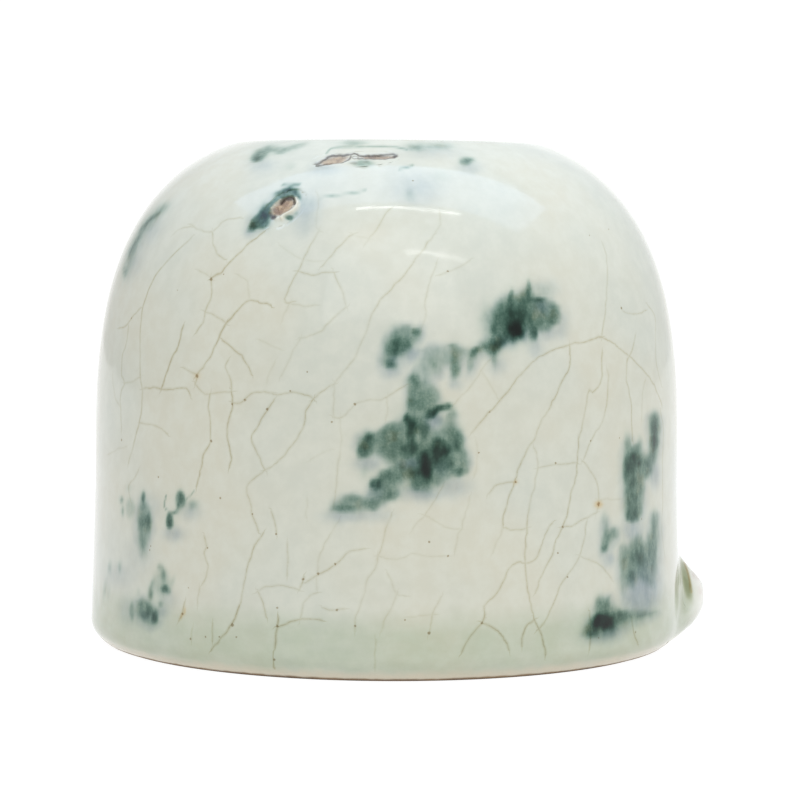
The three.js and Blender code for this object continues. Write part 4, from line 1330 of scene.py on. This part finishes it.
def drawn_crackle(paint, line):
    """How dark the line of one crackle layer is, and how far its stain spreads"""
    signed, away, strength = paint.split(paint.stored(line, True))
    wander = paint.math("MULTIPLY_ADD", paint.noise(1.6), CRACK_WANDER, -CRACK_WANDER / 2)
    across = paint.math("ABSOLUTE", paint.math("ADD", signed, wander))
    present = paint.times(paint.ranged(away, 1.3, 0.7), strength)
    return [paint.times(paint.ranged(across, *width), present) for width in (CORE_WIDTH, STAIN_WIDTH)]


def cell_crackle(paint):
    """The crackle of the sides that the photograph doesn't show, in the same style"""
    noise_inputs = {"Vector": paint.place, "Scale": CELL_DRIFT_SCALE}
    drift = paint.add("ShaderNodeTexNoise", noise_inputs, noise_dimensions="3D").outputs["Color"]
    moves = {0: drift, 1: CELL_DRIFT, 2: paint.place}
    moved = paint.add("ShaderNodeVectorMath", moves, operation="MULTIPLY_ADD").outputs[0]
    cell_inputs = {"Vector": paint.stretched(moved, CELL_SHARE), "Scale": CELLS}
    edge = paint.add("ShaderNodeTexVoronoi", cell_inputs, feature="DISTANCE_TO_EDGE").outputs["Distance"]
    strength = paint.ranged(paint.noise(11.0, 1.0), 0.32, 0.55, 0.0, 0.85)
    return [paint.times(paint.ranged(edge, *width), strength) for width in (CELL_CORE, CELL_STAIN)]


def with_crackle(paint, colour, hand_drawn):
    """Adds the stained crackle lines, which break up into beads"""
    core, spread = cell_crackle(paint)
    if hand_drawn:
        unseen = paint.stored("unseen")
        core = paint.times(core, unseen)
        spread = paint.times(spread, unseen)
        for k in range(CRACK_LAYERS):
            line, stained = drawn_crackle(paint, f"crack_{k}")
            core = paint.math("MAXIMUM", core, line)
            spread = paint.math("MAXIMUM", spread, stained)
    fade = paint.ranged(paint.noise(7.0), 0.3, 0.62, 0.55, 1.05)
    beads = paint.ranged(paint.noise(0.55, 2.0, 0.6), 0.35, 0.62, 0.3, 1.15)
    colour = paint.stained(colour, CRACK_STAIN, paint.times(spread, fade, STAIN_DEPTH))
    return paint.stained(colour, CRACK_CORE, paint.times(core, fade, beads, CORE_DEPTH))


def with_specks(paint, colour, hand_drawn):
    """Adds the pinholes and brown specks"""
    pores = paint.add("ShaderNodeTexVoronoi", {"Vector": paint.place, "Scale": PORES}, feature="F1").outputs
    rare = paint.ranged(paint.split(pores["Color"])[0], 0.93, 0.98)
    dark = paint.times(paint.ranged(pores["Distance"], 0.04, 0.015), rare, 0.5)
    if hand_drawn:
        ragged = paint.math("MULTIPLY_ADD", paint.noise(0.3, 1.0), 2.4, -1.2)
        for k in range(SPECK_LAYERS):
            across, up, away = paint.split(paint.stored(f"speck_{k}", True))
            squared = paint.math("MULTIPLY_ADD", up, up, paint.times(across, across))
            soft = paint.ranged(paint.math("ADD", squared, ragged), 1.2, 0.0)
            dot = paint.times(soft, paint.ranged(away, 1.2, 0.8), 0.38)
            dark = paint.math("MAXIMUM", dark, dot)
    return paint.stained(colour, SPECK, dark)


def glaze_surface(paint):
    """Roughness and normal of a glossy glaze with a faint orange peel"""
    rough = paint.ranged(paint.noise(9.0, 3.0), 0.3, 0.7, 0.06, 0.12)
    height = paint.math("MULTIPLY_ADD", paint.noise(1.6, 1.0), 0.08, paint.noise(7.0, 1.0))
    return rough, paint.bump(height, 0.05)


def glaze(name, hand_drawn):
    """The crackled glaze, with the listed marks or without them"""
    paint = Paint(name)
    colour = glaze_colour(paint)
    if hand_drawn:
        colour = with_splashes(paint, colour)
    colour = with_crackle(paint, colour, hand_drawn)
    colour = with_specks(paint, colour, hand_drawn)
    if hand_drawn:
        colour = paint.stained(colour, RUST, paint.stored("rust"))
    return paint.finish(colour, *glaze_surface(paint), IOR=GLAZE_IOR)


def mottled(paint, grit, light, dark, pits):
    """Clay that drifts between two tones, with darker pits"""
    tone = paint.ranged(paint.noise(4.0, 4.0, 0.6), 0.3, 0.7)
    colour = paint.mixed(tone, light, dark)
    return paint.mixed(paint.ranged(grit, 0.6, 0.72, 0.0, 0.4), colour, pits)


def body_clay():
    """Fired clay without glaze: mottled, finely pitted and dull"""
    paint = Paint("body_clay")
    grit = paint.noise(0.7, 3.0, 0.7)
    rough = paint.ranged(grit, 0.3, 0.7, 0.62, 0.85)
    return paint.finish(mottled(paint, grit, *BODY_CLAYS), rough, paint.bump(grit, 0.12))


def foot_clay():
    """Bare clay of the foot, painted dark brown where it meets the table: its own tan darkened by painted
    contact shade, with a cream wash of glaze above
    """
    paint = Paint("foot_clay")
    grit = paint.noise(0.5, 3.0, 0.7)
    x, y, z = paint.split(paint.place)
    edge = paint.math("MULTIPLY_ADD", paint.noise(2.0, 3.0), WASH_WAVE, z)
    outer = paint.math("SQRT", paint.math("MULTIPLY_ADD", x, x, paint.times(y, y)))
    wash = paint.times(paint.ranged(edge, *WASH_FOOT), paint.ranged(outer, *WASH_OUTSIDE))
    colour = paint.mixed(wash, mottled(paint, grit, *FOOT_CLAYS_WITH_CONTACT_SHADE), glaze_colour(paint))
    rough = paint.ranged(wash, 0.0, 1.0, 0.75, 0.12)
    return paint.finish(colour, rough, paint.bump(grit, 0.05), IOR=GLAZE_IOR)


def lug_glaze():
    """The same glaze on the lug, white where it stands proud, partly as thinner glaze and partly as a painted
    highlight, and olive where it lies deep
    """
    paint = Paint("lug_glaze")
    colour = with_splashes(paint, glaze_colour(paint))
    # Painted highlight, together with thinner glaze, where the lug stands out
    colour = paint.mixed(paint.times(paint.stored("proud_and_highlight"), 0.85), colour, PROUD_GLAZE_AND_HIGHLIGHT)
    blush = paint.times(paint.stored("blush"), paint.ranged(paint.noise(1.6, 3.0), 0.35, 0.65, 0.2, 1.0))
    colour = paint.stained(colour, LUG_BLUSHED, blush)
    colour = paint.stained(colour, LUG_POOLED, paint.stored("pool"))
    colour = paint.stained(colour, LUG_GOLDEN, paint.stored("gold"))
    return paint.finish(colour, *glaze_surface(paint), IOR=GLAZE_IOR)


def scar_clay():
    """Bare broken clay with brown burnt edges, running out into the glaze round it"""
    paint = Paint("scar")
    light, dark, pits = SCAR_CLAYS
    grit = paint.noise(0.6, 4.0, 0.7)
    bare = paint.mixed(paint.ranged(paint.noise(1.4, 3.0), 0.35, 0.65), light, dark)
    bare = paint.mixed(paint.ranged(grit, 0.56, 0.7, 0.0, 0.45), bare, pits)
    share = paint.stored("bare")
    colour = paint.mixed(share, with_splashes(paint, glaze_colour(paint)), bare)
    # The lip round the scar is painted paler: partly thick glaze, partly a painted highlight
    colour = paint.mixed(paint.times(paint.stored("lip"), 0.7), colour, LIP_GLAZE_AND_HIGHLIGHT)
    burnt = paint.times(paint.stored("burnt"), paint.ranged(grit, 0.3, 0.6, 0.8, 1.0))
    colour = paint.mixed(burnt, colour, BURNT)
    rough = paint.ranged(share, 0.2, 0.8, 0.1, 0.6)
    return paint.finish(colour, rough, paint.bump(paint.times(grit, share), 0.3), IOR=GLAZE_IOR)


# Pieces

def glaze_edge(azimuth):
    """Height of the outer glaze's lower edge, which wanders round the foot"""
    return BARE_EDGE + EDGE_WAVE * lumps(placed(azimuth, EDGE_CIRCLE, 0.0), EDGE_WAVES)


def scar_frame(scar):
    """The scar's azimuth and distance along the outline"""
    centre = seen_at(*scar["middle"])
    return math.degrees(math.atan2(centre[0], -centre[1])), run_at(centre[2])


def scar_share(scar, azimuth, height):
    """Distance from a scar's middle as a share of its patch: 1 is the patch's edge"""
    middle, run = scar_frame(scar)
    off = (azimuth - middle + 180.0) % 360.0 - 180.0
    along, over = tilted(np.radians(off) * outer_radius(height), run_at(height) - run, scar["tilt"])
    return np.hypot(along / scar["half_length"], over / scar["half_width"])


def lug_height(side, height):
    """How far the lug stands out of the wall: steep above, round below, with wide skirts beside it"""
    above = eased((LUG_TOP - height) / LUG_SHOULDER)
    below = eased((height + LUG_HEEL) / (LUG_BELLY + LUG_HEEL))
    skirt = LUG_SKIRT * eased((LUG_SKIRT_TOP - height) / LUG_SKIRT_FALL)
    half_width = LUG_HALF_WIDTH * (LUG_NARROW + (1 - LUG_NARROW) * above) + skirt
    across = np.clip(1 - (side / half_width) ** 2, 0.0, None) ** 3
    return LUG_REACH * above**LUG_STEEPNESS * below * across


def coat_section():
    """The outer coat's section, lower edge first, over the rim, into the mouth and down behind"""
    face = outline(0.0, BARE_EDGE, POT_HEIGHT, FACE_POINTS)
    lip = MOUTH_RADIUS + LIP_RADIUS
    bend = arc((lip, POT_HEIGHT - LIP_RADIUS), LIP_RADIUS, 90, 180, LIP_POINTS)
    near_rim = np.flatnonzero(face[:, 0] < RIM_RADIUS + RIM_EDGE)[0]
    face = np.concatenate([face[:near_rim + 1], [(RIM_RADIUS, POT_HEIGHT), (lip, POT_HEIGHT)]])
    face = softened(face, len(face) - 2, RIM_EDGE, RIM_POINTS)
    middle = np.flatnonzero(face[:, 1] > FINE_BELOW)[0]
    face = np.concatenate([evenly(face[:middle + 1], LOW_ROWS), evenly(face[middle:], HIGH_ROWS)[1:]])
    back = outline(GLAZE, BARE_EDGE + EDGE_BEHIND, POT_HEIGHT - GLAZE, BACK_ROWS)[::-1]
    behind_lip = MOUTH_RADIUS + GLAZE
    inner = [(behind_lip, POT_HEIGHT - LIP_RADIUS), (behind_lip + LIP_LEAN, POT_HEIGHT - GLAZE)]
    return np.concatenate([face, bend[1:], inner, back])


def coat_dents(turn, heights, moved):
    """How far the coat is sunk under the scars and the lug"""
    dents = 0.0
    for scar in SCARS.values():
        under = (SCAR_DENT_EDGE - scar_share(scar, turn, moved)) / SCAR_DENT_SLOPE
        dents = dents + SCAR_DENT * np.clip(under, 0.0, 1.0)
    side = (turn - LUG_AZIMUTH) * np.radians(1.0) * WALL_RADIUS
    under = (lug_height(side, heights) - LUG_DENT_EDGE) / LUG_DENT_SLOPE
    return dents + LUG_DENT * np.clip(under, 0.0, 1.0)


def outer_coat(material, cracks, specks):
    """The crackled coat, with a wandering lower edge, and sunk where the scars and the lug sit"""
    section = coat_section()
    azimuth = coat_turns()
    shape = (len(azimuth), len(section))
    heights = np.broadcast_to(section[:, 1], shape)
    turn = np.broadcast_to(azimuth[:, None], shape)
    outside = np.arange(len(section)) < COAT_ROWS

    # The lower edge wanders, and what lies just above it follows less and less
    above = section[:, 1] - BARE_EDGE
    lift = (glaze_edge(azimuth) - BARE_EDGE)[:, None] * np.clip(1 - above / EDGE_FOLLOWS, 0.0, 1.0)
    moved = np.clip(heights + lift, 0.0, POT_HEIGHT)
    true = placed(turn, section[:, 0] + outer_radius(moved) - outer_radius(heights), moved)
    roll = EDGE_ROLL * np.exp(-((above / EDGE_ROLL_SIZE) ** 2))
    sink = sink_at(turn, heights) + (roll + coat_dents(turn, heights, moved)) * outside
    points = true - outward(turn, heights) * sink[..., None]

    faces = grid_faces(*shape, True, True)
    piece = made_piece("outer_glaze_coat", points, faces, material, ["outer_glaze"],
                       sharp=50.0)
    store_marks(piece, true.reshape(-1, 3), turn.ravel(), moved.ravel(), cracks, specks)


def inner_coat(material):
    """The coat inside, with the faint rings of the thrower's fingers"""
    depth = GLAZE + FIT_GAP + CLAY_WALL + FIT_GAP
    ceiling = POT_HEIGHT - depth - GLAZE
    low = FLOOR_TOP + GLAZE
    side = outline(depth + GLAZE, low + INNER_CORNER, ceiling, WALL_ROWS)
    bend = arc((side[0, 0] - INNER_CORNER, low + INNER_CORNER), INNER_CORNER, -90, 0, count=12)
    floor = [(radius, low) for radius in np.linspace(0.0, bend[0, 0], FLOOR_ROWS)]
    neck = POT_HEIGHT - LIP_RADIUS
    roof = [(MOUTH_RADIUS + THROAT, ceiling + THROAT_RISE), (MOUTH_RADIUS, ceiling + THROAT_RISE + THROAT)]
    mouth = [(MOUTH_RADIUS, neck), (MOUTH_RADIUS + GLAZE, neck)]
    seen = np.concatenate([floor[:-1], bend[:-1], side, roof, mouth])
    height = seen[:, 1]
    ringed = (height > low + RINGS_ABOVE_FLOOR) & (height < POT_HEIGHT - RINGS_BELOW_RIM)
    seen[:, 0] += np.clip(RING_DEPTH * np.sin(height / RING_SIZE) * ringed, None, 0.0)
    hidden = np.concatenate([
        [(MOUTH_RADIUS + GLAZE, POT_HEIGHT - depth)],
        outline(depth, low, POT_HEIGHT - depth - 0.1, count=30)[::-1],
        [(outline(depth, low, POT_HEIGHT - depth, count=4)[0, 0], FLOOR_TOP)],
        [(0.0, FLOOR_TOP)],
    ])
    section = np.concatenate([seen, hidden])[::-1]
    turned_disc("inner_glaze_coat", section, INNER_COLUMNS, material, ["inner_glaze"])


def base_coat(material):
    """The coat in the recess under the floor, slightly uneven"""
    radius = outer_radius(0.0) - FOOT_WIDTH - FIT_GAP
    low = RECESS_DEPTH - GLAZE
    across = np.linspace(BASE_FLAT, radius - BASE_MARGIN, BASE_ROWS)
    uneven = low + BASE_WAVE * (1 + np.sin(across / BASE_WAVE_SIZE))
    section = [(0.0, low + 2 * BASE_WAVE), *zip(across, uneven), (radius, low + BASE_EDGE)]
    section += [(radius, RECESS_DEPTH), (0.0, RECESS_DEPTH)]
    turned_disc("base_glaze_coat", section, BASE_COLUMNS, material, ["base_glaze"])


def foot_ring(material):
    """The turned ring of bare clay, with worn edges and a slightly uneven outside"""
    outside = outline(0.0, 0.0, BARE_EDGE + LEDGE_LOW, count=10)
    inset = outline(GLAZE + FIT_GAP, BARE_EDGE + LEDGE_HIGH, RECESS_DEPTH, count=6)
    inner = outer_radius(0.0) - FOOT_WIDTH
    low = arc((outside[0, 0] - WORN_EDGE, WORN_EDGE), WORN_EDGE, -90, -60, count=3)
    inside = arc((inner + WORN_EDGE, WORN_EDGE), WORN_EDGE, 180, 270, count=6)
    section = np.concatenate([low, outside[2:], inset, [(inner, RECESS_DEPTH)], inside])
    shape = (FOOT_COLUMNS, len(section))
    azimuth = np.arange(FOOT_COLUMNS) * 360.0 / FOOT_COLUMNS - 180.0
    turn = np.broadcast_to(azimuth[:, None], shape)
    points = turned(section, azimuth)
    grain = FOOT_DRAWN_IN + FOOT_GRAIN * swirl(points, FOOT_GRAIN_SIZE, 2.0)
    sunk = sink_at(turn, np.broadcast_to(section[:, 1], shape)) + grain
    uneven = (section[:, 1] > EVEN_BELOW) & (section[:, 0] > inner + EVEN_INSIDE)
    points = points - placed(turn, 1.0, 0.0) * (sunk * uneven)[..., None]
    faces = grid_faces(*shape, True, True)
    made_piece("foot_ring_bare", points, faces, material, ["foot_ring"], sharp=60.0)


def leaf(side, height, centre, half_width, half_height):
    """1 in the middle of a leaf that is pointed at its top, falling smoothly to 0"""
    up = (height - centre[1]) / half_height
    narrow = np.clip(1 - 0.5 * np.clip(up, 0.0, 1.0) ** 1.5, 0.2, 1.0)
    squared = ((side - centre[0]) / (half_width * narrow)) ** 2 + up**2
    return np.clip(1 - squared, 0.0, None) ** 1.2


def foot_lug(material):
    """The small applied lug, feathered into the wall, with a leaf-shaped hollow on its near side"""
    reach = LUG_HALF_WIDTH + LUG_SKIRT
    across = np.arange(-reach, reach + PATCH_STEP, PATCH_STEP)
    upward = np.arange(LUG_LOWEST, LUG_TOP + PATCH_STEP, PATCH_STEP)
    side, height = np.meshgrid(across, upward, indexing="ij")
    azimuth = LUG_AZIMUTH + np.degrees(side / WALL_RADIUS)
    bell = lug_height(side, height)
    wall = placed(azimuth, WALL_RADIUS, height)
    raised = bell + lumps(wall, LUG_LUMPS) * np.clip(bell / LUG_CALM, 0.0, 1.0)
    raised = raised - LUG_HOLLOW_DEPTH * leaf(side, height, *LUG_HOLLOW)
    tuck = LUG_TUCK * np.clip((LUG_TUCK_TOP - height) / LUG_TUCK_FALL, 0.0, 1.0) ** 2
    radius = outer_radius(height) + raised - tuck - sink_at(azimuth, height) - JUST_UNDER
    top = placed(azimuth, np.minimum(radius, LUG_LIMIT), height)
    back = placed(azimuth, outer_radius(height) - LUG_BACK, height)
    points, faces = closed_patch(top, back)
    piece = made_piece("foot_lug_glazed", points, faces, material, ["foot_lug"], sharp=80.0)

    places = top.reshape(-1, 3)
    normals = outward(azimuth, height).reshape(-1, 3)
    x, y, _ = pixels_of(places, normals)
    near_side = (side.ravel() < 0).astype(float)
    ink, haze = ink_fields(places, normals, azimuth.ravel(), height.ravel())
    fields = {
        "ink": ink,
        "haze": haze,
        "proud_and_highlight": np.clip((bell.ravel() - LUG_PROUD) / LUG_PROUD_OVER, 0.0, 1.0),
        "pool": spot_sum(x, y, LUG_POOLS, softness=2.0) * near_side,
        "gold": line_sum(x, y, LUG_GOLD) * near_side,
        "blush": spot_sum(x, y, LUG_BLUSH),
    }
    for name, values in fields.items():
        store(piece, name, np.concatenate([values, values]))


def oval_patch(top, back, spokes):
    """Points and faces of a thin closed oval: grids of (spoke, ring) with the middle as ring 0"""
    rings = top.shape[1] - 1
    sheet = spokes * rings + 1
    faces = []
    for offset, flipped in ((0, False), (sheet, True)):
        ring = np.arange(spokes) * rings + 1 + offset
        following = np.roll(ring, -1)
        fan = np.stack([np.full(spokes, offset), ring, following], axis=1)
        quads = np.concatenate([
            np.stack([ring + k, ring + k + 1, following + k + 1, following + k], axis=1)
            for k in range(rings - 1)
        ])
        faces += [face[::-1] if flipped else face for face in (*fan.tolist(), *quads.tolist())]
    edge = np.arange(spokes) * rings + rings
    following = np.roll(edge, -1)
    faces += np.stack([edge, edge + sheet, following + sheet, following], axis=1).tolist()
    sheets = [np.concatenate([grid[:1, 0], grid[:, 1:].reshape(-1, 3)]) for grid in (top, back)]
    return np.concatenate(sheets), faces


def scar_patch(name, scar, material):
    """A bare scar: rough clay a little below the glaze, inside a raised lip of glaze"""
    middle, run = scar_frame(scar)
    around = np.arange(SCAR_SPOKES) * 2 * math.pi / SCAR_SPOKES
    share, around = np.meshgrid(np.linspace(0.0, 1.0, SCAR_RINGS + 1), around)
    along = share * np.cos(around) * scar["half_length"]
    over = share * np.sin(around) * scar["half_width"]
    u, v = tilted(along, over, -scar["tilt"])
    height = height_at(np.clip(run + v, 0.0, meridian_run[-1]))
    radius = outer_radius(height)
    azimuth = middle + np.degrees(u / radius)
    skin, normal = placed(azimuth, radius, height), outward(azimuth, height)
    places, normals = skin.reshape(-1, 3), normal.reshape(-1, 3)

    x, y, _ = pixels_of(places, normals)
    shakes = [SCAR_SHAKE * swirl(places, SCAR_SHAKE_SIZE, shift) for shift in SCAR_SHIFTS]
    x, y = x + shakes[0], y + shakes[1]
    bare = spot_sum(x, y, scar["bare"], softness=3.5)
    burnt = spot_sum(x, y, scar["burnt"], softness=1.8)
    burnt = np.maximum(burnt, line_sum(x, y, scar["burnt_lines"]))
    lip = line_sum(x, y, scar["lip_and_highlight_lines"])
    broken = lumps(places, SCAR_LUMPS)
    relief = SCAR_LIP * lip * (1 - bare) + bare * (broken - SCAR_DEPTH) - BURNT_DEPTH * burnt
    raised = relief.reshape(share.shape) * np.clip((SCAR_EDGE - share) / SCAR_EDGE_SLOPE, 0.0, 1.0)
    top = skin + normal * (raised - sink_at(azimuth, height) - JUST_UNDER)[..., None]
    points, faces = oval_patch(top, skin - normal * SCAR_BACK, SCAR_SPOKES)
    piece = made_piece(name, points, faces, material, [scar["replaces"]], sharp=80.0)

    ink, haze = ink_fields(places, normals, azimuth.ravel(), height.ravel())
    for field, values in (("bare", bare), ("burnt", burnt), ("lip", lip), ("ink", ink), ("haze", haze)):
        grid = values.reshape(share.shape)
        sheet = np.concatenate([grid[0, :1], grid[:, 1:].ravel()])
        store(piece, field, np.concatenate([sheet, sheet]))


# Surroundings

FLOOR_HALF = 6.0
FLOOR_DROP = 0.0001  # it lies this far under the foot, so that the two don't flicker
FLOOR_GLOW = 0.96
WORLD_BASE = 0.72
WORLD_SIDE = 0.13  # more on the right and less on the left
WORLD_BEHIND = 0.4  # more behind the pot
WORLD_TOP = 0.48  # more overhead
WORLD_RAMPS = (
    ("X", -1.0, 1.0, -WORLD_SIDE, WORLD_SIDE, "LINEAR"),
    ("Y", 0.86, 0.98, 0.0, WORLD_BEHIND),
    ("Z", 0.2, 0.95, 0.0, WORLD_TOP),
)

# Soft panels: place, what they face, width, height, brightness and colour
SOFTBOXES = {
    "overhead": ((0.03, -0.02, 0.8), (0.03, -0.02, 0.0), 1.35, 0.42, 2.4, (0.5, 0.72, 1.1)),
    "front": ((0.04, -1.0, 1.0), (0.04, 0.0, 1.0), 1.06, 1.2, 1.7, WHITE[:3]),
    "right": ((1.1, 0.3, 0.9), (0.0, 0.3, 0.9), 1.4, 0.9, 0.3, WHITE[:3]),
    "tube_above": ((0.09, -0.275, 0.8), (0.09, -0.275, 0.0), 0.48, 0.022, 14.0, WHITE[:3]),
    "tube_ahead": ((0.44, -0.97, 1.03), (0.44, 0.0, 1.03), 0.55, 0.05, 9.0, WHITE[:3]),
}


def make_floor():
    """A plain pale floor, which isn't part of the pot"""
    mesh = bpy.data.meshes.new("floor")
    corners = [(x * FLOOR_HALF, y * FLOOR_HALF, -FLOOR_DROP) for x, y in ((-1, -1), (1, -1), (1, 1), (-1, 1))]
    mesh.from_pydata(corners, [], [(0, 1, 2, 3)])
    glow = {"Emission Color": WHITE, "Emission Strength": FLOOR_GLOW}
    mesh.materials.append(Paint("floor").finish(FLOOR_GREY, 1.0, IOR=1.0, **glow))
    floor = linked(bpy.data.objects.new("floor", mesh))


def softbox(name, place, aim, width, height, brightness, colour):
    """A soft panel that adds this much brightness, where the white surroundings are 1"""
    data = bpy.data.lights.new(name, "AREA")
    data.shape = "RECTANGLE"
    data.size, data.size_y = width, height
    data.energy = brightness * math.pi * width * height
    data.color = colour
    light = linked(bpy.data.objects.new(name, data))
    light.location = place
    light.rotation_euler = (Vector(aim) - Vector(place)).to_track_quat("-Z", "Y").to_euler()


def make_world():
    """Pale surroundings, white behind the pot, and brighter overhead and on the right"""
    world = bpy.data.worlds.new("studio")
    world.use_nodes = True
    nodes = Nodes(world.node_tree)
    direction = nodes.split(nodes.add("ShaderNodeTexCoord", {}).outputs["Generated"])
    brightness = WORLD_BASE
    for axis, *limits in WORLD_RAMPS:
        brightness = nodes.math("ADD", nodes.ranged(direction[axis], *limits), brightness)
    background = world.node_tree.nodes["Background"]
    nodes.feed(background.inputs["Color"], WHITE)
    nodes.feed(background.inputs["Strength"], brightness)
    bpy.context.scene.world = world


def dress_hidden_clay():
    """The clay parts inside keep their CAD shape and get a clay material"""
    body = body_clay()
    for node in ("wall_drum", "shoulder_dome", "floor_disc"):
        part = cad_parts[node]
        part.data.materials.clear()
        part.data.materials.append(body)


def make_pot():
    """Every piece of the pot that the scene shows in place of its CAD solid"""
    crack_layers = layered(crack_lines(), CRACK_LAYERS, CRACK_CLEAR)
    speck_marks = [(size, seen_at(x, y)[None]) for x, y, size in SPECKS]
    speck_layers = layered(speck_marks, SPECK_LAYERS, 2 * SPECK_REACH)
    outer_coat(glaze("crackle_glaze", True), crack_layers, speck_layers)
    plain = glaze("plain_glaze", False)
    inner_coat(plain)
    base_coat(plain)
    foot_ring(foot_clay())
    foot_lug(lug_glaze())
    bare = scar_clay()
    for name, scar in SCARS.items():
        scar_patch(name, scar, bare)


make_camera()
make_floor()
make_world()
bpy.context.scene.view_settings.view_transform = "Standard"
for panel, settings in SOFTBOXES.items():
    softbox(panel, *settings)
dress_hidden_clay()
make_pot()
